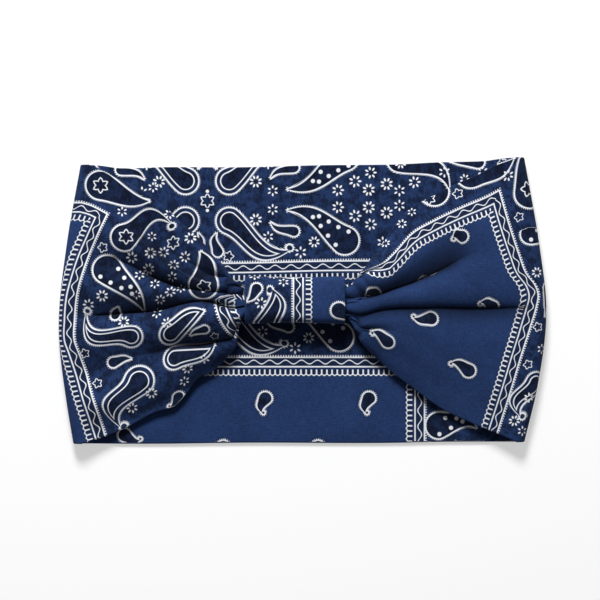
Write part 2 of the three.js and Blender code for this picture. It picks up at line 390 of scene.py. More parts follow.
def borderGroup():
    tree, k, start, end = newGroup("windowBorder", {"Folded": vectorSocket}, ["Ink", "Shade"])
    a, b, _ = k.split(start[0])
    inA, inB = a - bandA, b - bandB
    depth = k.math("MINIMUM", inA, inB)
    upright = k.math("LESS_THAN", inA, inB)
    along = upright * b + (1.0 - upright) * a
    half = printLayout["lineHalf"]
    combDepth = printLayout["combDepth"]

    def wave(pitch):
        return k.math("SINE", along * (2 * math.pi / printLayout[pitch]))

    ticks = k.ramp(depth, -1.25, -0.95) * k.ramp(depth, 0.1, -0.1) * k.ramp(wave("tickPitch"), -0.1, 0.5)
    curve = depth - (wave("wavePitch") * printLayout["waveHigh"] + printLayout["waveDepth"])
    comb = wave("combPitch")
    teeth = k.ramp(depth, 6.0, 6.3) * k.ramp(depth, combDepth + 0.2, combDepth) * k.ramp(comb, 0.45, 0.75)
    scallop = k.line(depth - (comb * -0.35 + combDepth), 0.3)
    lines = [k.line(depth, half), k.line(curve, 0.26), k.line(depth - printLayout["innerLine"], half)]
    # the strip and the comb are printed on darker ground
    strip = k.ramp(depth, -1.6, 0.4) * k.ramp(depth, 5.6, 4.6)
    fringe = k.ramp(depth, 5.2, 6.4) * k.ramp(depth, 9.4, 8.6)
    k.feed(end, {0: k.most(*lines, ticks, teeth, scallop), 1: k.most(strip * 0.62, fringe * 0.55)})
    return tree


def paisleyGroup():
    sockets = {"Place": vectorSocket, "Shape": vectorSocket}
    tree, k, start, end = newGroup("paisleyMotif", sockets, ["Ink", "Shade"])
    x, y, style = k.split(start[0])
    radius, length, bend = k.split(start[1])
    hooked = k.math("GREATER_THAN", style, hookMark / 2)
    isDouble = k.math("COMPARE", style - hooked * float(hookMark), float(double), 0.25)
    tipRadius, half = printLayout["tipRadius"], printLayout["lineHalf"]

    t = k.math("DIVIDE", x, length, clamp=True)
    hump = t * t * (1.0 - t)
    side = k.math("ABSOLUTE", y - hump * printLayout["bendShare"] * bend)
    slope = (radius - tipRadius) / length
    run = k.math("SQRT", 1.0 - slope * slope)
    key = run * x - slope * side
    head = k.reach(x, side) - radius
    tip = k.reach(x - length, side) - tipRadius
    body = run * side + slope * x - radius
    atHead = k.math("LESS_THAN", key, 0.0)
    atTip = k.math("GREATER_THAN", key, run * length)
    distance = atHead * head + atTip * tip + (1.0 - atHead - atTip) * body
    # the hook at the tip is a small round on the hollow side of the bend
    hookSize = radius * 0.2 + 0.2
    hookSide = k.math("SIGN", bend) * (hookSize * -0.85)
    hook = k.reach(x - length, y - hookSide) - hookSize + (1.0 - hooked) * 100.0
    distance = k.math("MINIMUM", distance, hook) - hump * (isDouble * 1.2 + 0.6) * radius  # a fuller belly

    # short ticks stand out all round the outline
    turn = k.math("ARCTAN2", y, x - length * 0.4)
    beat = k.math("SINE", turn * ((length * 0.35 + radius) * 6.6))
    tick = k.ramp(beat, 0.1, 0.7, 0.0, 0.5)
    soft = 0.12
    outline = k.ramp(distance, -half - soft, soft - half) * k.ramp(distance - tick, half + soft, half - soft)
    inset = distance + (radius * 0.3 + 0.35)
    filled = k.ramp(distance, 0.3, -0.5)
    doubleShade = k.ramp(inset, 0.3, -0.5) * 0.42 + filled * 0.5
    shade = isDouble * doubleShade + (1.0 - isDouble) * (filled * 0.9)
    halo = k.ramp(distance, 3.0, 0.0, 0.0, 0.34)
    k.feed(end, {0: k.most(outline, k.line(inset, 0.3) * isDouble), 1: k.most(shade, halo)})
    return tree


def sprigGroup():
    tree, k, start, end = newGroup("sprigMotif", {"Place": vectorSocket}, ["Ink", "Shade"])
    x, y, petals = k.split(start[0])
    radius = k.reach(x, y)
    count = k.math("MAXIMUM", k.math("ABSOLUTE", petals), 1.0)
    sector = k.math("FRACT", k.math("ARCTAN2", y, x) / (2 * math.pi) * count) - 0.5
    angle = sector * (2 * math.pi) / count
    out = (radius * k.math("COSINE", angle) - 2.05) / 0.85
    across = radius * k.math("SINE", angle) / 0.46
    petal = k.ramp(k.reach(out, across), 1.15, 0.8) * k.math("GREATER_THAN", petals, 0.5)
    edge = k.math("ABSOLUTE", sector) * -2.5 + 3.0
    star = k.line(radius - edge, 0.3) * k.math("LESS_THAN", petals, -0.5)
    dot = k.ramp(radius, 1.2, 0.9) * k.math("COMPARE", petals, 0.0, 0.25)
    k.feed(end, {0: k.most(petal, star, dot), 1: k.ramp(radius, 3.9, 1.0, 0.0, 0.62)})
    return tree


def heatherGroup():
    tree, k, start, end = newGroup("jerseyHeather", {"Cloth": vectorSocket}, ["Value", "Smudge"])
    s, v, _ = k.split(start[0])
    level = k.noise(k.join(s * 0.16, v), 1900.0, 3.0, 0.6)   # streaks of yarn along the courses
    upright = k.noise(k.join(s, v * 0.2), 1500.0, 3.0, 0.6)  # and along the wales
    cloud = k.noise(start[0], 60.0, 3.0, 0.55)
    blotch = k.noise(start[0], 190.0, 4.0, 0.65)
    hatch = k.noise(k.join(s, v * 0.35), 900.0, 2.0, 0.5)
    value = k.ramp(level * 0.5 + upright * 0.35 + cloud * 0.3, 0.35, 0.8, 0.66, 1.36)
    k.feed(end, {0: value, 1: k.ramp(hatch * 0.3 + blotch * 0.7, 0.43, 0.58)})
    return tree


clothLook = {
    "navy": (0.0165, 0.039, 0.122, 1),
    "navyShade": (0.0024, 0.0042, 0.0125, 1),
    "ink": (0.84, 0.865, 0.92, 1),
    "roughness": 0.9,
    "inkRoughness": 0.7,
    "gloss": 0.1,
    "sheen": 0.02,
    "sheenRoughness": 0.5,
    "wale": 0.62 * mm,      # one column of knitted loops
    "course": 0.5 * mm,     # one row of them
    "knitHeight": 0.06 * mm,
    "knitStrength": 0.8,
    "paintedShadeStrength": 0.86,    # how much the painted shade darkens the cloth, deep in a crease and under the knot
}


def knitGroup():
    tree, k, start, end = newGroup("jerseyKnit", {"Cloth": vectorSocket}, ["Height"])
    s, v, _ = k.split(start[0])
    course = clothLook["course"]
    lean = k.math("ABSOLUTE", k.math("SINE", s * (math.pi / clothLook["wale"])))
    loops = k.math("SINE", (lean * (0.5 * course) + v) * (2 * math.pi / course))
    fuzz = k.noise(start[0], 2600.0, 3.0, 0.6)
    k.feed(end, {0: fuzz * 0.9 + (loops * 0.3 + lean)})
    return tree


def jerseyMaterial():
    material, k, shader = newMaterial("printedJersey")
    cloth = k.node("ShaderNodeUVMap", uv_map="cloth").outputs[0]

    def attribute(label, part="Vector"):
        return k.node("ShaderNodeAttribute", attribute_name=label).outputs[part]

    borderInk, borderShade = k.group(borderGroup(), attribute("folded"))
    paisleyInk, paisleyShade = k.group(paisleyGroup(), attribute("motifPlace"), attribute("motifShape"))
    sprigInk, sprigShade = k.group(sprigGroup(), attribute("sprigPlace"))
    value, smudge = k.group(heatherGroup(), cloth)
    knit = k.group(knitGroup(), cloth)[0]
    ink = k.most(borderInk, paisleyInk, sprigInk)
    # the bands of paisley are printed on darker, smudged ground
    a, b, _ = k.split(attribute("folded"))
    inWindow = k.ramp(a, bandA - 0.4, bandA + 0.4) * k.ramp(b, bandB - 0.4, bandB + 0.4)
    inBand = (1.0 - inWindow) * (smudge * 0.62 + 0.14)
    filled = k.most(paisleyShade, sprigShade) * (smudge * 0.34 + 0.7)

    def toned(colour, level):
        return k.node("ShaderNodeHueSaturation", {"Color": colour, "Value": level}).outputs[0]

    ground = k.mix(k.most(borderShade, filled, inBand), clothLook["navy"], clothLook["navyShade"])
    inked = k.mix(ink * 0.97, toned(ground, value), clothLook["ink"])
    # painted shade: deep in a crease and close under the knot, ground and ink are painted darker where shade
    # would fall
    tucked = Term(k, attribute("paintedShade", "Fac"))
    bump = k.node("ShaderNodeBump", {
        "Distance": clothLook["knitHeight"],
        "Strength": clothLook["knitStrength"],
        "Height": ink * 0.5 + knit,
    })
    k.feed(shader, {
        # painted shade darkens the base colour
        "Base Color": toned(inked, 1.0 - tucked * clothLook["paintedShadeStrength"]),
        "Roughness": k.ramp(ink, 0.0, 1.0, clothLook["roughness"], clothLook["inkRoughness"]),
        "Specular IOR Level": clothLook["gloss"],
        "Sheen Weight": clothLook["sheen"],
        "Sheen Roughness": clothLook["sheenRoughness"],
        "Normal": bump.outputs[0],
    })
    return material


jersey = jerseyMaterial()
print("print and jersey material ready")


def gridFaces(rows, around):
    # four-sided faces between the rows of a grid that closes on itself, and where each one starts
    i, j = np.meshgrid(np.arange(rows - 1), np.arange(around), indexing="ij")
    i, j = i.reshape(-1), j.reshape(-1)
    below, above, nextJ = i * around, (i + 1) * around, (j + 1) % around
    return np.stack([below + j, below + nextJ, above + nextJ, above + j], axis=1), j


def slabMesh(name, outer, inner, outerPlaces, innerPlaces, motifs, seamColumn=None, lowerPlaces=None):
    # A double ply with round long edges: two grids of points, joined at their sides and ends.
    # Places are the (s, v) of every point. Columns before seamColumn read lowerPlaces inside.
    rows, columns = outer.shape[:2]
    width = outerPlaces.shape[2]
    steps = 4  # round each long edge
    edges, outerRun, innerRun = [], [], []
    for column, spread in ((columns - 1, 1), (0, -1)):
        half = (outer[:, column] - inner[:, column]) / 2
        middle = (outer[:, column] + inner[:, column]) / 2
        bulge = np.linalg.norm(half, axis=1, keepdims=True)
        normal = half / bulge
        beside = outer[:, column] - outer[:, column - spread]
        beside = beside - normal * np.sum(beside * normal, axis=1, keepdims=True)
        beside = beside / np.linalg.norm(beside, axis=1, keepdims=True)
        turns = [math.pi * i / steps for i in range(1, steps)]
        edges.append([middle + half * math.cos(t) + beside * bulge * math.sin(t) for t in turns])
        for places, run in ((outerPlaces, outerRun), (innerPlaces, innerRun)):
            step = places[:, column] - places[:, column - spread]
            step = step / np.maximum(np.linalg.norm(step[:, :2], axis=1, keepdims=True), 1e-9)
            lengths = turns[::-1] if places is innerPlaces else turns
            run.append([places[:, column] + step * (t * bulge) for t in lengths])

    def ringOf(front, back, sides):
        front = [front[:, j] for j in range(columns)]
        back = [back[:, j] for j in range(columns - 1, -1, -1)]
        return np.stack(front + sides[0] + back + sides[1][::-1], axis=1)

    ring = ringOf(outer, inner, edges)
    around = ring.shape[1]
    faces, j = gridFaces(rows, around)
    flat = ringOf(outerPlaces, innerPlaces, outerRun).reshape(-1, width)
    corners = flat[faces]
    innerStart = columns + steps - 1
    innerEnd = innerStart + columns - 1
    isInner = (j >= columns - 1 + steps // 2) & (j < innerEnd + steps // 2)
    corners[isInner] = ringOf(outerPlaces, innerPlaces, innerRun).reshape(-1, width)[faces[isInner]]
    if lowerPlaces is not None:
        isLower = (j >= innerEnd - seamColumn) & isInner
        lower = ringOf(outerPlaces, lowerPlaces, innerRun).reshape(-1, width)
        corners[isLower] = lower[faces[isLower]]

    # the ends: strips between the two faces, and the two round edges
    pairs = [(column, innerEnd - column) for column in range(columns)]
    quads = [[a, b, d, c] for (a, b), (c, d) in zip(pairs, pairs[1:])]
    left = [q % around for q in range(innerEnd, around + 1)]
    right = list(range(columns - 1, innerStart + 1))
    for side in (right, left):
        low, high = 0, len(side) - 1
        while high - low > 1:
            quads.append([side[low], side[high], side[high - 1], side[low + 1]])
            low, high = low + 1, high - 1
    lastRow = (rows - 1) * around
    caps = quads + [[lastRow + q for q in quad[::-1]] for quad in quads]
    caps = [list(dict.fromkeys(face)) for face in caps]
    spare = np.array([(face + face[-1:])[:4] for face in caps])
    allCorners = np.concatenate([corners, flat[spare]])
    return finishCloth(name, ring.reshape(-1, 3), faces.tolist() + caps, allCorners, motifs, len(faces))


def finishCloth(name, points, faces, corners, motifs, smoothCount):
    # motifs: the piece's own paisleys and sprigs, and whether the repeating ones are on it too.
    # corners holds four places for each face; a face of three keeps the first three
    count = len(faces)
    sizes = np.array([len(face) for face in faces])
    wanted = (np.arange(4)[None, :] < sizes[:, None]).reshape(-1)
    signed = 0.0
    fours = np.array(faces[:smoothCount])
    for k in range(1, 3):
        a, b, c = points[fours[:, 0]], points[fours[:, k]], points[fours[:, k + 1]]
        signed += np.sum(np.cross(a, b) * c)
    inward = signed < 0

    def inOrder(values):
        # keeps the corners in step when the faces are turned to look outwards
        kept = values.reshape(-1, values.shape[2])[wanted]
        if inward:
            starts = np.cumsum(sizes) - sizes
            kept = kept[np.concatenate([np.arange(a + n - 1, a - 1, -1) for a, n in zip(starts, sizes)])]
        return kept.reshape(-1).astype(np.float32)

    mesh = bpy.data.meshes.new(name)
    mesh.from_pydata((points * mm).tolist(), [], [face[::-1] if inward else face for face in faces])
    for label, values in printPlaces(corners, *motifs).items():
        layer = mesh.attributes.new(label, "FLOAT_VECTOR", "CORNER")
        layer.data.foreach_set("vector", inOrder(values))
    cloth = mesh.uv_layers.new(name="cloth")
    cloth.data.foreach_set("uv", inOrder(corners[:, :, :2] * mm))
    sharp = mesh.attributes.new("sharp_face", "BOOLEAN", "FACE")
    sharp.data.foreach_set("value", np.arange(count) >= smoothCount)
    mesh.materials.append(jersey)
    mesh.update()
    return newObject(name, mesh)


def stampPaintedShade(piece, rows, outerPaintedShade, innerPaintedShade):
    # painted shade for cloth deep in a crease or under the knot, on the two faces of a slab
    columns = outerPaintedShade.shape[1]
    ring = np.zeros((rows, len(piece.data.vertices) // rows))
    edge = (ring.shape[1] - 2 * columns) // 2
    ring[:, :columns] = outerPaintedShade
    ring[:, columns + edge:2 * columns + edge] = innerPaintedShade[:, ::-1]
    # the painted shade is kept per point for the material to read
    layer = piece.data.attributes.new("paintedShade", "FLOAT", "POINT")
    layer.data.foreach_set("value", ring.reshape(-1).astype(np.float32))


def smoothStep(t):
    t = np.clip(t, 0, 1)
    return t * t * (3 - 2 * t)


def curveThrough(points, at):
    # a smooth curve through a few (place, value) points
    xs, ys = np.array(points, float).T
    slopes = np.gradient(ys, xs)
    k = np.clip(np.searchsorted(xs, at) - 1, 0, len(xs) - 2)
    h = xs[k + 1] - xs[k]
    t = np.clip((at - xs[k]) / h, 0, 1)
    return (
        ys[k] * (1 + 2 * t) * (1 - t) ** 2
        + ys[k + 1] * t * t * (3 - 2 * t)
        + slopes[k] * h * t * (1 - t) ** 2
        + slopes[k + 1] * h * t * t * (t - 1)
    )


def softNoise(x, y, seed):
    # a gentle uneven surface between -1 and 1
    total = np.zeros(np.broadcast(x, y).shape)
    rng = np.random.default_rng(seed)
    for turn, (px, py, phase) in enumerate(rng.uniform(0.6, 1.9, (7, 3))):
        angle = turn * 2.4 + px
        total += np.sin((x * math.cos(angle) + y * math.sin(angle)) * py + phase * 9)
    return total / 4


# The turn at the sides, shared by the back and the lobes so that they meet there.
bandFacts = {
    "ply": 0.7,
    "across": 244.0,
    "flatWidth": 142.0,
    "topLeft": 67.3,
    "topRight": 71.0,
    "bottomLeft": -71.1,
    "bottomRight": -70.2,
}
foldRadius = sideFoldHigh[2] / 2
turnSteps = 8  # rows of cloth round a side fold, from the middle of its height
bandThickness = 2 * bandFacts["ply"]
# how far the side edge lies from the middle, at heights from the bottom to the top of the band
leftEdge = [(-71.3, 114.9), (-50, 118.4), (-14, 122.2), (28, 118.2), (67.5, 111.3)]
rightEdge = [(-70.4, 111.3), (-44, 117.6), (-3, 122.2), (26, 119.0), (71.2, 111.2)]


def ringX(y, side):
    return side * curveThrough(leftEdge if side < 0 else rightEdge, y)


def cornerY(side):
    # the ends of the folded side, bottom and top
    if side < 0:
        return bandFacts["bottomLeft"], bandFacts["topLeft"]
    return bandFacts["bottomRight"], bandFacts["topRight"]


def walked(path):
    # the length along a path at each of its points
    return np.concatenate([[0], np.cumsum(np.hypot(*np.diff(path, axis=0).T))])


def padded(values, before, after):
    # the first and the last row of a grid, repeated
    return np.concatenate([np.repeat(values[:1], before, 0), values, np.repeat(values[-1:], after, 0)])


def along(points, t):
    # a smooth path through points, at t from 0 to 1 of its length
    points = np.array(points, float)
    run = walked(points)
    run /= run[-1]
    return [curveThrough(np.column_stack([run, points[:, k]]), t) for k in (0, 1)]


def gridNormals(points):
    across = np.gradient(points, axis=1)
    down = np.gradient(points, axis=0)
    normal = np.cross(across, down)
    length = np.linalg.norm(normal, axis=2, keepdims=True)
    return normal / np.maximum(length, 1e-9)


def runLength(points, axis):
    steps = np.linalg.norm(np.diff(points, axis=axis), axis=2)
    zero = np.zeros_like(np.take(steps, [0], axis=axis))
    return np.concatenate([zero, np.cumsum(steps, axis=axis)], axis=axis)


def pleat(path, deep, above, below, lean=0.0, hides=0.0):
    # A deep crease that starts at the wrap. At u from 0 at the wrap to 1 at the side fold: where it
    # runs (q from -1 at the bottom edge to 1 at the top edge), how deep it is, and how wide above and
    # below. Its lip leans over it to one side, and it hides that much of the motifs drawn across it.
    return {"path": path, "deep": deep, "above": above, "below": below, "lean": lean, "hides": hides}


def edgePleat(q):
    # a short gather beside a long edge
    width = [(0, 2.0), (1, 3)]
    return pleat([(0, q), (1, q)], [(0, 3.2), (0.05, 2.0), (0.12, 0), (1, 0)], width, width)


# The two lobes of the front. Their long edges are paths of (distance from the wrap, height), and the
# other curves give values at u, from 0 at the wrap to 1 at the side fold.
lobeFacts = {
    "rows": 150,
    "columns": 211,
    "ply": 0.95,
    "insideRows": 15,      # rows of cloth that go on inside the wrap
    "rowSpacing": 1.12,    # over 1 sets the rows closer together by the wrap
    "seamHalf": 0.4,       # from the end seam, in the middle of the wrap, to the cloth
    "middleStart": -0.3,   # height of the middle line at the wrap
    "topHeight": [(0, 14.9), (0.06, 15.6), (0.14, 16.2), (0.3, 15.4), (0.5, 13.4), (0.8, 10.2), (1, 8.6)],
    "edgeHeight": [(0, 5.0), (0.1, 5.4), (0.3, 6.4), (0.6, 6.2), (0.85, 7.0), (1, 8.6)],
    "curl": [(0, 2.6), (0.06, 2.35), (0.16, 1.6), (0.3, 1.0), (0.5, 0.75), (1, 0.5)],
    "hiddenShare": 0.86,   # of the spare cloth, what the creases take in
    "tuckSpan": 3.0,       # the width over which a crease takes it in
    "hideSpan": 1.2,       # and over which it hides a motif
    "shareFrom": 0.8,      # shallow creases take in little: half of it at this depth
    "stillFrom": 0.9,      # where the creases start to die out before the side fold
    "fullDeep": 4.5,       # a crease this deep gets the full painted shade, and its lip leans out fully
    "shadeOpen": 0.85,     # the painted shade's falling off on the open side, and under the lip
    "shadeLip": 1.3,
    "shadePower": 1.6,
    "sharpShare": 0.62,    # a crease is this much a sharp groove, and the rest a broad hollow
    "sharpPower": 1.3,
    "broadAbove": 2.3,     # the hollow's width in grooves
    "broadBelow": 1.6,
    "ripple": (3.1, 26.0),       # size of the small waves, across and along the cloth
    "rippleDeep": (0.6, 0.12),   # how deep they are by the wrap, and further out
    "crumpleRun": 19.0,          # length of the broad crumples
    "edgeCalm": 0.6,             # how much shallower all of these are at the long edges
    "gatherPitch": 13.0,   # cloth from one fine gather to the next
    "gatherDeep": 0.95,
    "gatherDrift": (1.6, 16.0, 30.0),  # how far they wander, and its size across and along
    "slipReach": 0.4,      # how far out the print's slip goes
    "bowFrom": 0.12,       # where the print starts to bow, and over what length it does
    "bowSpan": 0.6,
    "foldShare": 0.4,      # of the side fold's depth, what counts in the print's run
}
rightLobeFacts = {
    "top": [(0, 9.6), (3.5, 11.8), (13.5, 21.7), (21.5, 32.75), (30, 43.6), (40, 49.6), (55, 56.8),
            (70, 62.9), (83.5, 69.2), (89.95, 71.0)],
    "bottom": [(0, -9.6), (2.5, -12.3), (13, -25.75), (24, -35.75), (37, -45.2), (47, -52.2),
               (66.5, -61.2), (82, -66.9), (90.05, -70.2)],
    # how much shorter the print runs, at heights from the bottom to the top
    "bow": [(-75, 18.4), (-63.75, 14.9), (-46.75, 9.5), (-30.75, 4.65), (-12.75, -1.25), (-2.75, -4.3),
            (3.25, -5.2), (7.25, -3.85), (13.25, 0.8), (22.25, 4.5), (36.25, 9.3), (55.75, 14.95),
            (75, 20.8)],
    "slip": [(0, 0)],      # how far the print slips along, by the wrap, at heights
    "printPlace": (bandA + 93, 19.25 + bandFacts["flatWidth"] / 2, 1.0),  # where it starts, and its stretch
    "seed": 5,
    "crumple": 1.0,
    "crumpleSize": 12.0,
    "creases": [
        pleat([(0, 0.02), (0.12, 0.06), (0.26, 0.17), (0.4, 0.235), (0.5, 0.295), (0.64, 0.39), (0.8, 0.46),
               (1, 0.5)],
              [(0, 3.6), (0.1, 5.2), (0.25, 6.2), (0.45, 6.2), (0.58, 3.8), (0.68, 1.4), (0.8, 0), (1, 0)],
              [(0, 2.4), (0.2, 4.5), (0.5, 8.0), (1, 9)],
              [(0, 2.0), (0.2, 2.6), (0.5, 4.5), (1, 7)], lean=-1.4, hides=8.0),
        pleat([(0, -0.28), (0.08, -0.2), (0.2, -0.11), (0.42, -0.06), (0.7, -0.05), (1, -0.05)],
              [(0, 3.6), (0.1, 5.2), (0.3, 6.4), (0.5, 5.8), (0.75, 4.2), (0.92, 2.4), (1, 1.2)],
              [(0, 2.0), (0.2, 2.0), (0.5, 2.4), (1, 3.2)],
              [(0, 2.4), (0.2, 4.0), (0.5, 6.0), (1, 6.5)], lean=1.7, hides=8.0),
        pleat([(0, -0.5), (0.18, -0.44), (0.3, -0.42), (1, -0.4)],
              [(0, 3.4), (0.08, 3.2), (0.18, 1.6), (0.3, 0), (1, 0)],
              [(0, 2.2), (1, 6)], [(0, 2.0), (1, 4)], lean=-0.8),
        pleat([(0, 0.5), (0.12, 0.55), (0.3, 0.6), (1, 0.62)],
              [(0, 3.3), (0.06, 2.8), (0.15, 1.1), (0.24, 0), (1, 0)],
              [(0, 2.2), (1, 5)], [(0, 2.0), (1, 4)], lean=0.8),
        edgePleat(0.78), edgePleat(-0.78),
    ],
    "paisleys": [
        (79.6, 32.2, 75.2, 31.2, 3.3, -1.4, single, True),
        (64.0, -8.8, 55.6, -8.6, 3.3, 0.9, single, True),
        (42.2, -20.4, 35.0, -15.6, 3.5, -1.0, single, True),
        (82.9, -35.2, 74.6, -31.0, 3.6, -1.2, single, True),
        (95.4, -3.2, 89.4, -0.7, 3.2, -1.2, single, True, 93.0, 0.6),
        (64.0, 8.6, 57.6, 9.2, 3.2, -1.2, single, True, 62.0, 13.6),
        (36.2, 3.6, 31.4, 2.4, 3.0, -1.0, single, True, 35.6, 8.2),
        (66.0, 54.3, 53.0, 62.0, 7.0, 0.0, single, False, 66.4, 48.6),
        (84.5, 64.2, 105.5, 69.8, 7.6, -3.0, single, False, 87.5, 57.0),
        (113.8, 54.0, 111.0, 76.0, 7.8, 0.6, single, False, 111.0, 54.0),
        (114.4, 33.4, 128.5, 30.4, 5.6, 0.4, dotted, False, 114.4, 33.4),
        (116.6, -41.5, 108.6, -57.5, 5.6, -5.0, double, True),
        (121.8, 6.6, 121.6, -8.0, 2.3, 0.4, single, False),
    ],
    "spots": [
        (113.0, 55.6, -5, 1.3), (108.4, 41.6, -5, 0.8), (77.6, 53.4, -5, 0.9), (63.4, 51.4, -6, 1.1),
        (102.8, 62.8, 7, 1.0), (54.4, 44.4, 6, 0.8), (117.0, 14.2, 8, 0.95),
        (117.8, -13.0, -5, 0.8), (112.9, -31.8, -5, 0.8), (119.4, -24.0, 6, 0.9),
        (105.6, -60.2, 8, 1.0), (110.0, -65.5, 6, 0.9), (50.0, 38.4, 7, 0.9), (41.2, 28.4, 7, 0.85),
        (113.6, -48.6, 6, 0.9),
    ],
}
leftLobeFacts = {
    "top": [(0, 9.6), (9.5, 16.6), (16.5, 22.3), (21, 28.2), (32.5, 38.6), (40, 45.6), (47.5, 51),
            (54, 54.9), (67.5, 61.2), (76, 65.2), (82.55, 67.3)],
    "bottom": [(0, -9.6), (4.6, -22.5), (10, -29.8), (16.5, -35.6), (24, -39.6), (30.5, -47.4),
               (36, -52.6), (46, -55.6), (59, -62.0), (72.5, -67.25), (86.1, -71.1)],
    "bow": [(-75, 15.6), (-66.75, 13.1), (-47.75, 6.85), (-36.75, 3.65), (-25.75, -0.15), (-20.75, -2.05),
            (-9.75, -2.2), (2.25, -1.1), (14.25, 2.2), (22.25, 5.0), (33.75, 10.25), (43.45, 14.85),
            (75, 29)],
    "seed": 9,
    "slip": [(-40, 11), (-24, 5), (-5, -2), (-1.5, -2), (2, 14), (30, 14)],
    "printPlace": (44.0, 12.25 + bandFacts["flatWidth"] / 2, 0.902),
    "crumple": 2.8,
    "crumpleSize": 8.5,
    "creases": [
        pleat([(0, 0.05), (0.1, 0.08), (0.29, 0.12), (0.39, 0.155), (0.5, 0.23), (0.7, 0.34), (1, 0.4)],
              [(0, 3.8), (0.1, 6.0), (0.25, 7.6), (0.42, 6.8), (0.56, 4.0), (0.7, 1.6), (0.82, 0), (1, 0)],
              [(0, 2.4), (0.2, 3.8), (0.5, 8.0), (1, 9)],
              [(0, 2.0), (0.2, 2.0), (0.5, 3.4), (1, 5)], lean=-2.0),
        pleat([(0, -0.16), (0.1, -0.1), (0.21, -0.06), (0.43, -0.105), (0.72, -0.11), (1, -0.11)],
              [(0, 2.6), (0.12, 4.2), (0.24, 6.0), (0.43, 6.0), (0.62, 4.4), (0.8, 2.4), (0.92, 0.5), (1, 0)],
              [(0, 2.0), (0.2, 3.4), (0.5, 6.0), (1, 7)],
              [(0, 2.0), (0.2, 2.0), (0.5, 2.4), (1, 4)], lean=-1.6),
        pleat([(0, -0.5), (0.16, -0.6), (0.32, -0.58), (0.45, -0.49), (0.6, -0.47), (1, -0.5)],
              [(0, 3.4), (0.16, 4.4), (0.32, 4.2), (0.45, 2.6), (0.58, 1.0), (0.7, 0), (1, 0)],
              [(0, 2.2), (0.2, 4.0), (0.5, 6), (1, 7)],
              [(0, 2.0), (0.2, 2.2), (0.5, 3.4), (1, 4)], lean=-1.5),
        pleat([(0, 0.3), (0.3, 0.36), (0.5, 0.5), (0.65, 0.6), (1, 0.7)],
              [(0, 1.5), (0.2, 2.0), (0.4, 3.2), (0.55, 3.4), (0.66, 1.6), (0.75, 0), (1, 0)],
              [(0, 2.2), (0.3, 5), (1, 8)], [(0, 2.0), (0.3, 4), (1, 7)]),
        pleat([(0, 0.52), (0.15, 0.57), (0.3, 0.6), (1, 0.62)],
              [(0, 3.2), (0.06, 3.2), (0.16, 2.2), (0.3, 1.2), (0.45, 0), (1, 0)],
              [(0, 2.2), (0.3, 5), (1, 6)], [(0, 2.0), (0.3, 4), (1, 5)]),
        edgePleat(0.8), edgePleat(-0.78),
    ],
    "paisleys": [
        (-101.2, 57.7, -76.9, 49.8, 7.4, -2.0, single, False),
        (-89.0, 31.8, -65.9, 38.6, 6.8, 7.6, single, True),
        (-97.5, 15.2, -79.4, -4.7, 7.3, 2.2, dotted, False),
        (-93.7, -7.2, -92.6, -3.9, 2.5, 0.2, single, False),
        (-85.2, -18.2, -108.2, -6.4, 5.5, 8.6, double, True),
        (-94.4, -31.2, -86.2, -29.0, 2.8, 0.8, single, False),
        (-81.6, -40.2, -91.0, -63.4, 7.5, -7.8, double, True),
        (-49.4, 7.8, -50.6, 24.0, 7.5, -2.4, single, False),
        (-65.6, -16.6, -49.0, -5.4, 5.8, 1.4, double, False),
        (-49.0, -14.6, -55.8, -17.4, 2.3, -0.6, single, False),
        (-64.0, -28.8, -44.4, -22.0, 5.4, -1.8, double, False),
        (-62.5, -48.6, -66.0, -53.6, 3.0, 1.0, single, True),
    ],
    "spots": [
        (-101.2, 57.7, -6, 1.3), (-88.1, 32.0, -6, 1.25), (-100.0, 26.2, -5, 0.85), (-108.5, -26.2, -5, 0.8),
        (-102.4, -41.2, -5, 0.8), (-49.2, 7.2, -5, 1.25), (-65.0, 28.9, -6, 1.1), (-43.9, -17.8, -5, 0.75),
        (-75.4, 32.2, 6, 0.85), (-76.2, 24.0, 8, 1.05), (-85.0, 21.6, 7, 1.0), (-81.2, 12.8, 6, 0.9),
        (-76.8, 15.8, 8, 1.05), (-69.4, 24.0, 7, 1.0), (-64.4, 17.8, 7, 1.0), (-58.8, 21.6, 7, 1.0),
        (-65.0, 11.6, 6, 0.9), (-56.2, 31.4, 8, 1.05), (-74.0, 8.4, 6, 0.85),
        (-66.3, 43.2, 7, 0.95), (-90.0, 44.6, 6, 0.9), (-66.0, 4.6, 7, 0.95),
        (-100.0, 2.2, 8, 1.05), (-106.9, -2.2, 7, 1.0), (-89.4, -10.4, 8, 1.0), (-72.5, -6.0, 6, 0.9),
        (-67.5, -11.0, 7, 0.95), (-75.6, -46.6, 8, 1.05), (-85.0, -53.5, 7, 1.0), (-58.8, -40.4, 6, 0.9),
        (-57.6, -34.2, 7, 0.95), (-48.8, -29.2, 6, 0.95), (-83.0, 3.0, 6, 0.85), (-71.0, 0.2, 7, 0.9),
        (-60.6, 6.0, 6, 0.85),
    ],
}


def wrapEnd(side):
    return wrapHigh[0] if side > 0 else wrapLow[0]


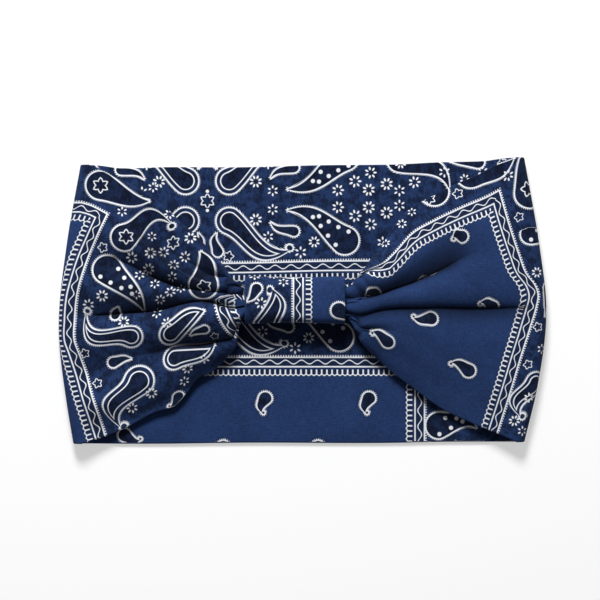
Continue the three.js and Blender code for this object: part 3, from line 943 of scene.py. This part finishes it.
def lobeSurface(side, facts, q, u):
    # the smooth lobe before its creases, with a point for every q and u
    topA, topY = along(facts["top"], u)
    bottomA, bottomY = along(facts["bottom"], u)
    edgeA = np.where(q > 0, topA, bottomA)
    edgeY = np.where(q > 0, topY, bottomY)
    middleA = abs(ringX(np.array([0.0]), side)[0] - wrapEnd(side)) * u
    middleY = lobeFacts["middleStart"] * (1 - u)
    curl = curveThrough(lobeFacts["curl"], u)
    spread = np.sin(np.abs(q) * curl) / np.sin(np.minimum(curl, math.pi / 2))
    y = middleY + (edgeY - middleY) * spread
    a = middleA + (edgeA - middleA) * np.minimum(spread, 1.0) ** 2
    edgeZ = curveThrough(lobeFacts["edgeHeight"], u)
    topZ = curveThrough(lobeFacts["topHeight"], u)
    z = edgeZ + (topZ - edgeZ) * (np.cos(q * curl) - np.cos(curl)) / (1 - np.cos(curl))
    x = wrapEnd(side) + side * a
    # end exactly on the shared side fold
    x = x + (ringX(y[-1:], side) - x[-1:]) * u ** 3
    x = x - side * foldRadius * u ** 3
    return np.stack([x, y, z], axis=2)


def clothAcross(facts, q, u, seen, still):
    # Each crease with how far away it is and how deep, and the cloth's own measure across the lobe:
    # what is seen, and what is tucked away in the creases.
    hidden = np.maximum(bandFacts["flatWidth"] - seen[:, -1:], 0) * lobeFacts["hiddenShare"]
    creases = []
    totalDeep = 0.0
    for crease in facts["creases"]:
        path = curveThrough(crease["path"], u)
        deep = np.maximum(curveThrough(crease["deep"], u), 0) * still
        rowAt = np.array([np.interp(p, q[0], row) for p, row in zip(path[:, 0], seen)])[:, None]
        creases.append((seen - rowAt, deep, crease))
        totalDeep = totalDeep + deep
    share = totalDeep / (totalDeep + lobeFacts["shareFrom"])
    cloth = seen.copy()
    for away, deep, _ in creases:
        tucked = hidden * share * deep / np.maximum(totalDeep, 1e-6)
        cloth = cloth + tucked * smoothStep(away / lobeFacts["tuckSpan"] + 0.5)
    return creases, cloth / cloth[:, -1:] * bandFacts["flatWidth"] - bandFacts["flatWidth"] / 2


def clothAlong(side, facts, u, base):
    # the print runs out from the gathers, and bows where the long creases shorten the cloth
    x, y = base[:, :, 0], base[:, :, 1]
    folded = foldRadius * u ** 3 * lobeFacts["foldShare"]
    bowed = np.abs(x - wrapEnd(side)) + folded + curveThrough(facts["bow"], y)
    run = runLength(base, 0)
    run = run + (bowed - run) * smoothStep((u - lobeFacts["bowFrom"]) / lobeFacts["bowSpan"])
    slip = np.array(facts["slip"], float)
    return run + np.interp(y, slip[:, 0], slip[:, 1]) * (1 - smoothStep(u / lobeFacts["slipReach"]))


def creaseDepths(creases, u):
    # how far the creases press the cloth in, push it aside for their lips, and how much painted shade they
    # put on it
    drop, shift, paintedShade = 0.0, 0.0, 0.0
    sharp, power = lobeFacts["sharpShare"], lobeFacts["sharpPower"]
    for away, deep, crease in creases:
        wideAbove = curveThrough(crease["above"], u)
        wideBelow = curveThrough(crease["below"], u)
        reach = np.where(away > 0, away / wideAbove, away / wideBelow)
        broad = reach / np.where(away > 0, lobeFacts["broadAbove"], lobeFacts["broadBelow"])
        drop = drop + deep * (sharp * np.exp(-np.abs(reach) ** power) + (1 - sharp) * np.exp(-broad ** 2))
        strength = deep / lobeFacts["fullDeep"]
        opened = away * crease["lean"] < 0  # the side that the lip does not cover
        far = np.abs(reach) * np.where(opened, lobeFacts["shadeOpen"], lobeFacts["shadeLip"])
        # painted shade: darkest in the bottom of the crease, fading out to each side
        paintedShade = np.maximum(paintedShade, np.minimum(strength, 1.0) * np.exp(-far ** lobeFacts["shadePower"]))
        onLip = np.maximum(reach if crease["lean"] > 0 else -reach, 0)
        shift = shift - crease["lean"] * strength * onLip * np.exp(1 - onLip)
    return drop, shift, paintedShade


def fineFolds(facts, u, cloth, run):
    # the small waves and fine gathers, which die out along the lobe, and the broad crumples
    rippleAcross, rippleRun = lobeFacts["ripple"]
    nearDeep, farDeep = lobeFacts["rippleDeep"]
    ripple = softNoise(cloth / rippleAcross, run / rippleRun, facts["seed"])
    ripple = ripple * (np.exp(-u / 0.2) * nearDeep + farDeep * (1 - u))
    wave = softNoise(cloth / facts["crumpleSize"] + 5, run / lobeFacts["crumpleRun"], facts["seed"] + 1)
    wave = wave * facts["crumple"] * smoothStep(u / 0.2)
    wander, driftAcross, driftRun = lobeFacts["gatherDrift"]
    drift = wander * softNoise(cloth / driftAcross, run / driftRun, facts["seed"] + 2)
    gathers = np.sin(2 * math.pi * cloth / lobeFacts["gatherPitch"] + drift)
    tight = lobeFacts["gatherDeep"] * (np.exp(-u / 0.1) + 0.28 * np.exp(-u / 0.3))
    return ripple + wave - tight * (gathers - 0.6)


def frontLobe(name, side, facts):
    # side is 1 for the right lobe and -1 for the left one
    middleColumn = lobeFacts["columns"] // 2
    q = np.linspace(-1, 1, lobeFacts["columns"])[None, :]
    u = np.linspace(0, 1, lobeFacts["rows"])[:, None] ** lobeFacts["rowSpacing"]
    still = 1 - smoothStep((u - lobeFacts["stillFrom"]) / (1 - lobeFacts["stillFrom"]))
    base = lobeSurface(side, facts, q, u)
    seen = runLength(base, 1)
    creases, cloth = clothAcross(facts, q, u, seen, still)
    run = clothAlong(side, facts, u, base)

    normal = gridNormals(base)
    normal = normal * np.sign(normal[:, middleColumn, 2])[:, None, None]
    acrossWay = np.gradient(base, axis=1)
    acrossWay = acrossWay / np.linalg.norm(acrossWay, axis=2, keepdims=True)
    drop, shift, paintedShade = creaseDepths(creases, u)
    calm = still * (1 - lobeFacts["edgeCalm"] * np.abs(q) ** 8)
    drop = drop - fineFolds(facts, u, cloth, run) * calm
    points = base - normal * drop[:, :, None] + acrossWay * shift[:, :, None]

    # the part hidden under the wrap, and the turn at the side
    insideReach = (wrapHigh[0] - wrapLow[0]) / 2 - lobeFacts["seamHalf"]
    insideCount = lobeFacts["insideRows"]
    insideRows = [insideReach * (1 - t) for t in np.linspace(0, 1, insideCount + 1)[:-1]]
    inside = np.stack([points[0] - np.array([side * depth, 0, 0]) for depth in insideRows])
    insideRun = np.stack([np.full(q.shape[1], -depth) for depth in insideRows])
    turns = np.linspace(0, math.pi / 2, turnSteps + 1)[1:]
    foldRow = points[-1]
    centre = np.stack([foldRow[:, 0], foldRow[:, 1], np.full(q.shape[1], foldRadius)], axis=1)
    turn = np.stack([
        centre + foldRadius * np.array([side * math.sin(t), 0, math.cos(t)]) for t in turns
    ])
    turnRun = np.stack([run[-1] + foldRadius * t for t in turns])
    outer = np.concatenate([inside, points, turn])
    outerRun = np.concatenate([insideRun, run, turnRun])
    outerCloth = padded(cloth, insideCount, turnSteps)

    faceNormal = gridNormals(outer)
    if faceNormal[outer.shape[0] // 2, middleColumn, 2] < 0:
        faceNormal = -faceNormal
    ply = np.linspace(lobeFacts["ply"], bandThickness, outer.shape[0])[:, None, None]
    inner = outer - faceNormal * ply
    # at the side fold the inner face ends on the same ring
    turned = slice(-turnSteps - 1, None)
    inner[turned] = centre + (outer[turned] - centre) * (1 - bandThickness / foldRadius)
    # the place over the creases: straight along the lobe, and across it by the smooth face
    overX = base[:, :, 0] + acrossWay[:, :, 0] * shift
    overX = np.concatenate([inside[:, :, 0], overX, overX[-1:] + side * (turnRun - run[-1:])])
    overY = seen + shift
    for away, _, crease in creases:
        overY = overY + crease["hides"] * smoothStep(away / lobeFacts["hideSpan"] + 0.5)
    overY = padded(overY - overY[:, middleColumn][:, None], insideCount, turnSteps)
    over = np.stack([overX, overY], axis=2)
    own = placedMotifs(outer, over, facts["paisleys"], facts["spots"])
    startS, startV, stretch = facts["printPlace"]
    clothPlace = np.stack([startS - stretch * outerRun, outerCloth - startV], axis=2)
    outerPlaces = np.concatenate([clothPlace, over], axis=2)
    lobe = slabMesh(name, outer, inner, outerPlaces, outerPlaces, (*own, False))
    # the painted shade of the creases goes on the outer face only
    paintedShade = padded(paintedShade, insideCount, turnSteps)
    stampPaintedShade(lobe, outer.shape[0], paintedShade, np.zeros_like(paintedShade))
    order = np.argsort(outer[-1, :, 1])
    sideFold = {"y": outer[-1, order, 1], "x": over[-1, order, 0], "across": over[-1, order, 1], "own": own}
    return lobe, sideFold


rightLobe, rightFold = frontLobe("rightLobe", 1, rightLobeFacts)
leftLobe, leftFold = frontLobe("leftLobe", -1, leftLobeFacts)
print("lobes made")

backFacts = {
    "rows": 260,
    "columns": 120,
    "reach": 107.0,       # from the middle to where the edges meet the lobes
    "topEdge": [(-111, 66.9), (-91, 65.75), (-71, 66.25), (-31, 66.25), (9, 67.25), (49, 67.75),
                (69, 68.75), (89, 69.25), (111, 70.9)],
    "bottomEdge": [(-111, -71.1), (-71, -71.25), (-31, -70.75), (49, -70.75), (69, -70.3), (111, -70.2)],
    "seamY": 0.25,
    # where the print lies on the under face, and on the inner face above and below the seam
    "underPlace": (-94.5, 12.25, 19.25),  # along, and across at the left and the right side
    "upperPlace": (-96.25, -16.25),
    "lowerPlace": (-93.5, 2.75),
    "meetFrom": 0.85,     # from here out, the long edges turn to meet the lobes
    "wrinkle": 0.9,
    "seamCrease": 0.5,    # the small valley along the seam
    "seamCreaseHalf": 1.1,
    "paintedKnotShade": 0.5,       # how dark the painted shade under the knot is
    "paintedShadeMiddle": -4.0,
    "paintedShadeReach": 22.0,
    "paintedShadeHeights": (-14.0, 8.0),
    "paintedShadeFade": (14.0, 11.0, 3.5),  # beyond that: along, below and above
    # motifs of its own, at the top: x, y of head and tip, radius, bend
    "paisleys": [(49.5, 71.3, 73.6, 55.8, 7.2, 5.0), (88.2, 69.6, 72.0, 71.5, 3.4, 0.5)],
    "spots": [(100.3, 68.6, -5, 0.8), (-75.0, 56.8, 6, 0.9)],
    "dropShape": (3.5, 1.3),  # radius, bend
    # drops on the lower part: x, y of head and tip
    "drops": [(-18.7, -49.2, -20.4, -56.2), (33.3, -49.2, 31.6, -56.2), (-39.7, -73.6, -41.4, -80.6),
              (7.8, -73.6, 6.1, -80.6), (-89.2, -67.6, -81.6, -70.2), (85.0, -49.2, 83.3, -56.2)],
}


def bandBackMesh():
    w = np.linspace(-1, 1, backFacts["rows"])[:, None]
    q = np.linspace(-1, 1, backFacts["columns"])[None, :]
    nearX = w * backFacts["reach"]
    bottom = curveThrough(backFacts["bottomEdge"], nearX)
    top = curveThrough(backFacts["topEdge"], nearX)
    # at the sides the edge heights meet the lobes exactly
    for side in (-1, 1):
        lowY, highY = cornerY(side)
        mix = smoothStep((side * w - backFacts["meetFrom"]) / (1 - backFacts["meetFrom"]))
        bottom = bottom + (lowY - bottom) * mix
        top = top + (highY - top) * mix
    y = bottom + (top - bottom) * (q + 1) / 2
    x = np.where(w < 0, -w * (ringX(y, -1) + foldRadius), w * (ringX(y, 1) - foldRadius))
    outer = np.stack([x, y, np.zeros_like(x)], axis=2)
    # broad and narrow wrinkles on the inner face, flat by the side folds and the long edges
    still = (1 - smoothStep((np.abs(w) - 0.86) / 0.13)) * (1 - np.abs(q) ** 12)
    swell = softNoise(x / 14.0, y / 9.0, 21) * 0.6 + softNoise(x / 5.0 + 3, y / 16.0, 22) * 0.3
    lift = backFacts["wrinkle"] * np.clip(0.45 + swell, 0, 1) * still
    fromSeam = (y - backFacts["seamY"]) / backFacts["seamCreaseHalf"]
    crease = backFacts["seamCrease"] * np.exp(-(fromSeam ** 2)) * still
    inner = outer.copy()
    inner[:, :, 2] = bandThickness + np.maximum(lift - crease, 0)

    def turned(edge, side, radius):
        # the rows round a side fold, outwards from the flat back
        turns = np.linspace(0, math.pi / 2, turnSteps + 1)[1:]
        offsets = [(side * math.sin(t) * radius, 0, foldRadius - math.cos(t) * radius) for t in turns]
        return np.stack([edge + np.array(offset) for offset in offsets])

    leftEdgeRow, rightEdgeRow = outer[0], outer[-1]
    outer, inner = [
        np.concatenate([turned(leftEdgeRow, -1, radius)[::-1], face, turned(rightEdgeRow, 1, radius)])
        for face, radius in ((outer, foldRadius), (inner, foldRadius - bandThickness))
    ]
    # cloth coordinates follow the surface round the sides
    reachOut = runLength(outer, 0)
    middle = outer.shape[0] // 2
    clothX = reachOut - reachOut[middle] + outer[middle, :, 0]
    yAll = outer[:, :, 1]
    topAll = padded(top, turnSteps, turnSteps)
    underS, leftV, rightV = backFacts["underPlace"]
    upperS, upperV = backFacts["upperPlace"]
    lowerS, lowerV = backFacts["lowerPlace"]
    lean = leftV + (rightV - leftV) * (clothX / bandFacts["across"] + 0.5)
    outerPlaces = np.stack([clothX + underS, -(lean + topAll - yAll)], axis=2)
    upper = np.stack([clothX + upperS, (topAll - yAll) + upperV], axis=2)
    lower = np.stack([clothX + lowerS, lowerV - yAll], axis=2)
    seamColumn = int(np.argmin(np.abs(yAll[middle] - backFacts["seamY"])))
    own = []
    for headX, headY, tipX, tipY in backFacts["drops"]:
        head, tip = (headX + lowerS, lowerV - headY), (tipX + lowerS, lowerV - tipY)
        own.append((head, tip, *backFacts["dropShape"], single, True, 1))

    def upperPlace(x, y):
        return x + upperS, float(curveThrough(backFacts["topEdge"], np.array([x]))[0]) + upperV - y

    for headX, headY, tipX, tipY, radius, bend in backFacts["paisleys"]:
        head, tip = upperPlace(headX, headY), upperPlace(tipX, tipY)
        own.append((head, tip, radius, -bend, single, False, 0))
    spots = [(*upperPlace(x, y), petals, size, 0) for x, y, petals, size in backFacts["spots"]]
    # the lobes' motifs run on round the side folds
    ownPlaces = outerPlaces.copy()
    for side, fold in ((-1, leftFold), (1, rightFold)):
        for step in range(turnSteps + 1):
            rowIndex = step if side < 0 else -1 - step
            at = yAll[rowIndex]
            ownPlaces[rowIndex, :, 0] = apart + np.interp(at, fold["y"], fold["x"])
            ownPlaces[rowIndex, :, 0] += side * foldRadius * step / turnSteps * math.pi / 2
            ownPlaces[rowIndex, :, 1] = np.interp(at, fold["y"], fold["across"])
        for head, tip, *rest in fold["own"][0]:
            own.append(((head[0] + apart, head[1]), (tip[0] + apart, tip[1]), *rest))
        for x, y, *rest in fold["own"][1]:
            spots.append((x + apart, y, *rest))
    outerPlaces = np.concatenate([outerPlaces, ownPlaces], axis=2)
    upper, lower = np.concatenate([upper, upper], axis=2), np.concatenate([lower, lower], axis=2)
    motifs = (own, spots, True)
    band = slabMesh("bandBack", outer, inner, outerPlaces, upper, motifs, seamColumn, lower)
    # painted shade on the inner face, close round the wrap and the gathers, where the knot's shade falls
    low, high = backFacts["paintedShadeHeights"]
    fadeX, fadeLow, fadeHigh = backFacts["paintedShadeFade"]
    fromKnot = np.abs(inner[:, :, 0] - backFacts["paintedShadeMiddle"])
    awayX = np.maximum(fromKnot - backFacts["paintedShadeReach"], 0) / fadeX
    awayY = np.where(yAll < 0, np.maximum(low - yAll, 0) / fadeLow, np.maximum(yAll - high, 0) / fadeHigh)
    # painted shade under the knot, fading out along the band and above and below it
    paintedKnotShade = backFacts["paintedKnotShade"] * np.exp(-(awayX ** 2) - awayY ** 2)
    stampPaintedShade(band, outer.shape[0], np.zeros_like(paintedKnotShade), paintedKnotShade)
    return band


bandBack = bandBackMesh()
print("back of the band made")

wrapFacts = {
    "around": 168,
    "along": 96,
    "ply": 1.5,
    "hem": 0.75,         # the round of the folded ends
    "crease": 0.35,      # how deep its small folds are
    "folds": (3.4, 24.0),          # their size round it and along it
    "edgeFolds": (0.8, 2.1, 9.0),  # finer ones by its long edges: strength, size round and along
    "edgeFoldsAt": (9.0, 4.0),     # their distance from the top middle, and how wide a strip
    "waist": 0.35,       # how much slimmer it is in the middle
    "squareness": 2.9,   # of its section: 2 is an ellipse, and more is squarer
    "printPlace": (37.5, -170.0),
    # x along the wrap, y round it from the top middle
    "paisleys": [
        (-18.8, -13.4, -15.8, 5.4, 6.2, -3.2, double, True),
        (-23.6, 5.8, -28.0, -0.4, 2.8, 0.7, single, False),
        (17.4, -5.2, 25.5, -8.0, 4.1, -1.0, single, False),
        (-6.0, 19.0, -24.0, 27.0, 6.0, 4.0, dotted, False),
        (12.0, 24.0, 10.4, 17.0, 3.8, 1.2, single, True),
        (2.0, -26.0, -14.0, -31.0, 5.0, 3.0, double, True),
    ],
    "spots": [
        (-21.4, -1.6, 7, 1.05), (-10.2, 9.6, 6, 0.95), (-24.6, 13.5, 6, 1.0), (-12.0, -22.0, 7, 1.0),
        (-26.0, -25.0, -5, 0.9), (-15.5, 15.0, 7, 1.0), (-27.0, 21.0, 6, 0.9),
    ],
}


def wrapMesh():
    around, steps = wrapFacts["around"], wrapFacts["along"]
    centreY = (wrapLow[1] + wrapHigh[1]) / 2
    centreZ = (wrapLow[2] + wrapHigh[2]) / 2
    halfY = (wrapHigh[1] - wrapLow[1]) / 2
    halfZ = (wrapHigh[2] - wrapLow[2]) / 2

    def section(count):
        # a rounded rectangle, evenly walked from its top middle towards the far edge
        angles = np.linspace(0, 2 * math.pi, 2881)  # every eighth of a degree
        power = wrapFacts["squareness"]
        c, s = np.cos(angles), np.sin(angles)
        size = (np.abs(s / halfY) ** power + np.abs(c / halfZ) ** power) ** (-1 / power)
        path = np.column_stack([s * size, c * size])
        length = walked(path)
        at = np.linspace(0, length[-1], count + 1)[:-1]
        return np.column_stack([np.interp(at, length, path[:, k]) for k in (0, 1)]), length[-1]

    outerSection, girth = section(around)
    half = wrapFacts["ply"] / 2
    hem = wrapFacts["hem"]
    x0, x1 = wrapLow[0], wrapHigh[0]
    # the profile through the cloth: along the outside, round the hem, back along the inside
    span = x1 - x0 - 2 * hem
    turns = np.linspace(0, math.pi, 9)[1:-1]
    profile = [(x0 + hem + span * t, 0.0) for t in np.linspace(0, 1, steps)]
    profile += [(x1 - hem + hem * math.sin(t), half - half * math.cos(t)) for t in turns]
    profile += [(x0 + hem + span * t, 2 * half) for t in np.linspace(1, 0, steps // 2)]
    profile += [(x0 + hem - hem * math.sin(t), half + half * math.cos(t)) for t in turns]
    profile = np.array(profile)

    outward = np.roll(outerSection, -1, 0) - np.roll(outerSection, 1, 0)
    outward = np.column_stack([outward[:, 1], -outward[:, 0]])
    outward /= np.linalg.norm(outward, axis=1, keepdims=True)
    if np.sum(outward * outerSection) < 0:
        outward = -outward
    arc = np.arange(around) * girth / around
    arc = np.where(arc > girth / 2, arc - girth, arc)  # 0 at the top middle, plus towards the far edge
    foldRound, foldAlong = wrapFacts["folds"]
    strength, edgeRound, edgeAlong = wrapFacts["edgeFolds"]
    foldsAt, foldsWide = wrapFacts["edgeFoldsAt"]
    byEdges = strength * np.exp(-(((np.abs(arc) - foldsAt) / foldsWide) ** 2))
    points = np.zeros((around, len(profile), 3))
    for k, (x, inset) in enumerate(profile):
        t = (x - x0) / (x1 - x0)
        folds = softNoise(arc / foldRound, np.full(around, x / foldAlong), 31)
        folds += byEdges * np.sin(arc / edgeRound + x / edgeAlong)
        pinch = wrapFacts["crease"] * (folds - 1.0) * math.sin(math.pi * min(max(t, 0), 1)) ** 0.6
        waist = -wrapFacts["waist"] * math.sin(math.pi * t) ** 2
        depth = inset - np.minimum(pinch + waist, 0) * (1 if inset < half else 0.25)
        points[:, k, 0] = x
        points[:, k, 1] = centreY + outerSection[:, 0] - outward[:, 0] * depth
        points[:, k, 2] = centreZ + outerSection[:, 1] - outward[:, 1] * depth
    count = len(profile)
    i, j = np.meshgrid(np.arange(around), np.arange(count), indexing="ij")
    i, j = i.reshape(-1), j.reshape(-1)
    nextI, nextJ = (i + 1) % around, (j + 1) % count
    faces = np.stack([i * count + j, nextI * count + j, nextI * count + nextJ, i * count + nextJ], axis=1)
    startS, startV = wrapFacts["printPlace"]
    clothS = x0 + walked(profile) + startS
    s0, s1 = clothS[j], np.where(j + 1 < count, clothS[nextJ], clothS[j] + 0.3)
    v0 = startV + arc[i]
    v1 = v0 + girth / around
    pairs = ((s0, v0), (s0, v1), (s1, v1), (s1, v0))
    corners = np.stack([np.stack(pair, axis=1) for pair in pairs], axis=1)
    own = []
    for headX, headY, tipX, tipY, *rest in wrapFacts["paisleys"]:
        own.append(((headX + startS, headY + startV), (tipX + startS, tipY + startV), *rest, 0))
    spots = [(x + startS, y + startV, petals, size, 0) for x, y, petals, size in wrapFacts["spots"]]
    motifs = (own, spots, False)
    wrap = finishCloth("centreWrap", points.reshape(-1, 3), faces.tolist(), corners, motifs, len(faces))
    return wrap, girth


centreWrap, wrapGirth = wrapMesh()
print("wrap made")

stitchFacts = {
    "seamStep": 2.6,        # along the band's lengthwise seam
    "seamLength": 1.7,
    "closingStep": 2.2,     # along the closed edge under the wrap
    "closingLength": 2.4,
    "closingSlant": 0.9,
    "thick": 0.32,
    "wobble": 0.09,
    "seamLift": 0.16,       # how high the seam's stitches lie above the cloth
    "closingDrop": 0.02,    # how far the others lie below the wrap
    "seamReach": 100,       # from the middle to the seam's ends
}


def stitchTree():
    # a row of small rounded stitches along a line
    tree = bpy.data.node_groups.new("stitchRow", "GeometryNodeTree")
    inputs = {"Geometry": "NodeSocketGeometry", "Step": floatSocket, "Length": floatSocket,
              "Thick": floatSocket, "Slant": floatSocket, "Seed": "NodeSocketInt",
              "Finish": "NodeSocketMaterial"}
    for label, kind in inputs.items():
        tree.interface.new_socket(label, in_out="INPUT", socket_type=kind)
    tree.interface.new_socket("Geometry", in_out="OUTPUT", socket_type="NodeSocketGeometry")
    k = Sketch(tree)
    start = k.node("NodeGroupInput").outputs
    path = k.node("GeometryNodeMeshToCurve", {0: start["Geometry"]}).outputs[0]
    spaced = k.node("GeometryNodeCurveToPoints", {"Curve": path, "Length": start["Step"]}, mode="LENGTH")
    bead = k.node("GeometryNodeMeshIcoSphere", {"Radius": 0.5, "Subdivisions": 2}).outputs["Mesh"]
    size = k.join(start["Thick"], start["Thick"], start["Length"])
    shaped = k.node("GeometryNodeTransform", {"Geometry": bead, "Scale": size})
    limits = {2: -stitchFacts["wobble"], 3: stitchFacts["wobble"], "Seed": start["Seed"]}
    wobble = k.node("FunctionNodeRandomValue", limits, data_type="FLOAT").outputs[1]
    turned = k.node("FunctionNodeRotateEuler", {
        "Rotation": spaced.outputs["Rotation"],
        "Rotate By": k.join(0.0, k.math("ADD", start["Slant"], wobble)),
    }, rotation_type="EULER", space="LOCAL")
    placed = k.node("GeometryNodeInstanceOnPoints", {
        "Points": spaced.outputs["Points"],
        "Instance": shaped.outputs["Geometry"],
        "Rotation": turned.outputs["Rotation"],
    })
    real = k.node("GeometryNodeRealizeInstances", {0: placed.outputs[0]}).outputs[0]
    painted = k.node("GeometryNodeSetMaterial", {"Geometry": real, "Material": start["Finish"]})
    k.node("NodeGroupOutput", {0: painted.outputs[0]})
    return tree


threadLook = {
    "navyThread": {"pale": (0.040, 0.062, 0.150, 1), "deep": (0.014, 0.022, 0.055, 1), "pitch": 0.4},
    "gatherThread": {"pale": (0.055, 0.075, 0.160, 1), "deep": (0.020, 0.028, 0.060, 1), "pitch": 0.6},
}


def twistGroup():
    # plied thread: slanting strands and a little fuzz
    sockets = {"Place": vectorSocket, "Pitch": floatSocket}
    tree, k, start, end = newGroup("threadTwist", sockets, ["Shade", "Height", "Fuzz"])
    x, y, z = k.split(start[0])
    turns = k.math("DIVIDE", x + (y * 0.8 + z), start[1])
    strand = k.math("SINE", turns * (2 * math.pi))
    fuzz = k.noise(start[0], 3000.0, 3.0, 0.6)
    k.feed(end, {0: k.ramp(strand * 0.35 + fuzz, 0.1, 0.9), 1: fuzz * 0.6 + strand, 2: fuzz})
    return tree


twistTree = twistGroup()


def threadMaterial(name):
    look = threadLook[name]
    material, k, shader = newMaterial(name)
    place = k.node("ShaderNodeTexCoord").outputs["Object"]
    shade, height, fuzz = k.group(twistTree, place, look["pitch"] * mm)
    bump = k.node("ShaderNodeBump", {"Distance": 0.05 * mm, "Height": height})
    k.feed(shader, {
        "Base Color": k.mix(shade, look["deep"], look["pale"]),
        "Roughness": k.ramp(fuzz, 0.2, 0.8, 0.5, 0.75),
        "Sheen Weight": 0.2,
        "Normal": bump.outputs[0],
    })
    return material


navyThread = threadMaterial("navyThread")
gatherThread = threadMaterial("gatherThread")
stitchRow = stitchTree()


def stitches(name, path, step, length, slant, seed):
    line = bpy.data.meshes.new(name + "Line")
    line.from_pydata((np.array(path) * mm).tolist(), [(i, i + 1) for i in range(len(path) - 1)], [])
    holder = newObject(name + "Line", line)
    rows = holder.modifiers.new("stitches", "NODES")
    rows.node_group = stitchRow
    chosen = {
        "Step": step * mm, "Length": length * mm, "Thick": stitchFacts["thick"] * mm,
        "Slant": slant, "Seed": seed, "Finish": navyThread,
    }
    for item in stitchRow.interface.items_tree:
        if item.in_out == "INPUT" and item.name in chosen:
            rows[item.identifier] = chosen[item.name]
    seen = holder.evaluated_get(bpy.context.evaluated_depsgraph_get())
    mesh = bpy.data.meshes.new_from_object(seen)
    mesh.name = name
    if not mesh.materials:
        mesh.materials.append(navyThread)
    bpy.data.objects.remove(holder)
    bpy.data.meshes.remove(line)
    return newObject(name, mesh)


seamY = backFacts["seamY"]
seamZ = bandThickness + stitchFacts["seamLift"]
seamX = np.linspace(-stitchFacts["seamReach"], stitchFacts["seamReach"], 101)
seamStitches = stitches(
    "seamStitches", [(x, seamY, seamZ) for x in seamX],
    stitchFacts["seamStep"], stitchFacts["seamLength"], slant=0.0, seed=3
)
closeZ = wrapLow[2] - stitchFacts["closingDrop"]
closeX = np.linspace(wrapLow[0] + 2, wrapHigh[0] - 2, 41)
closingStitches = stitches(
    "wrapClosingStitches", [(x, seamY, closeZ) for x in closeX],
    stitchFacts["closingStep"], stitchFacts["closingLength"], slant=stitchFacts["closingSlant"], seed=4
)
for label in ("end_seam_stitches", "gathering_thread"):
    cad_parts[label].data.materials.clear()
    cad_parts[label].data.materials.append(gatherThread)
print("stitches made")

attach(bandBack, "band_back")
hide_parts("back_panel", "left_side_fold", "right_side_fold")
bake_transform(rightLobe)
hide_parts("right_front_lobe", "right_gathered_end")
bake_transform(leftLobe)
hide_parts("left_front_lobe", "left_gathered_end")
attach(centreWrap, "knot")
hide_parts("centre_wrap")
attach(seamStitches, "band_back")
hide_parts("lengthwise_seam_thread")
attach(closingStitches, "knot")
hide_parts("wrap_closing_stitches")
wrapGirth * mm

studioFacts = {
    "across": 0.300,        # width of the view
    "centre": (-1.25, 0.25),
    "lens": 200.0,
    "sensor": 36.0,
    "worldLevel": 0.13,
    "lampWatts": 23.5,
    "lampSize": 0.4,
    "lampPlace": (-0.15, 1.02, 0.86),
    "floorColour": (0.55, 0.55, 0.555, 1),
    "floorHalf": 3.0,       # half the floor's width
    "floorHeight": -0.0004,
}


def bareRays(k):
    # the rays that show the background itself
    rays = k.node("ShaderNodeLightPath").outputs
    return k.most(rays["Is Camera Ray"], rays["Is Glossy Ray"], rays["Is Transmission Ray"])


def studio():
    camera = bpy.data.cameras.new("camera")
    camera.lens = studioFacts["lens"]
    camera.sensor_width = studioFacts["sensor"]
    camera.clip_end = 20
    view = newObject("camera", camera)
    centreX, centreY = studioFacts["centre"]
    distance = studioFacts["across"] * studioFacts["lens"] / studioFacts["sensor"]
    view.location = (centreX * mm, centreY * mm, distance + 0.008)
    bpy.context.scene.camera = view

    lamp = bpy.data.lights.new("softbox", "AREA")
    lamp.shape = "SQUARE"
    lamp.size = studioFacts["lampSize"]
    lamp.energy = studioFacts["lampWatts"]
    held = newObject("softbox", lamp)
    x, y, z = studioFacts["lampPlace"]
    held.location = (x, y, z)
    held.rotation_euler = (-math.atan2(y, z), math.atan2(x, z), 0)

    world = bpy.data.worlds.new("studio")
    world.use_nodes = True
    bpy.context.scene.world = world
    k = Sketch(world.node_tree)
    level = studioFacts["worldLevel"]
    strength = bareRays(k) * (1.0 - level) + level
    k.feed(world.node_tree.nodes["Background"], {"Color": (1, 1, 1, 1), "Strength": strength})

    white, k, shader = newMaterial("paleFloor")
    x, y, _ = k.split(k.node("ShaderNodeTexCoord").outputs["Object"])
    k.feed(shader, {
        "Base Color": studioFacts["floorColour"],
        "Roughness": 0.9,
        "Emission Color": (1, 1, 1, 1),
        "Emission Strength": bareRays(k) * k.ramp(k.reach(x, y), 0.2, 0.9, 0.5, 1.0),
    })
    mesh = bpy.data.meshes.new("floor")
    half, height = studioFacts["floorHalf"], studioFacts["floorHeight"]
    corners = [(x * half, y * half, height) for x, y in ((-1, -1), (1, -1), (1, 1), (-1, 1))]
    mesh.from_pydata(corners, [], [(0, 1, 2, 3)])
    mesh.materials.append(white)
    floor = newObject("floor", mesh)
    bpy.context.scene.view_settings.view_transform = "Standard"


studio()
print("studio ready")

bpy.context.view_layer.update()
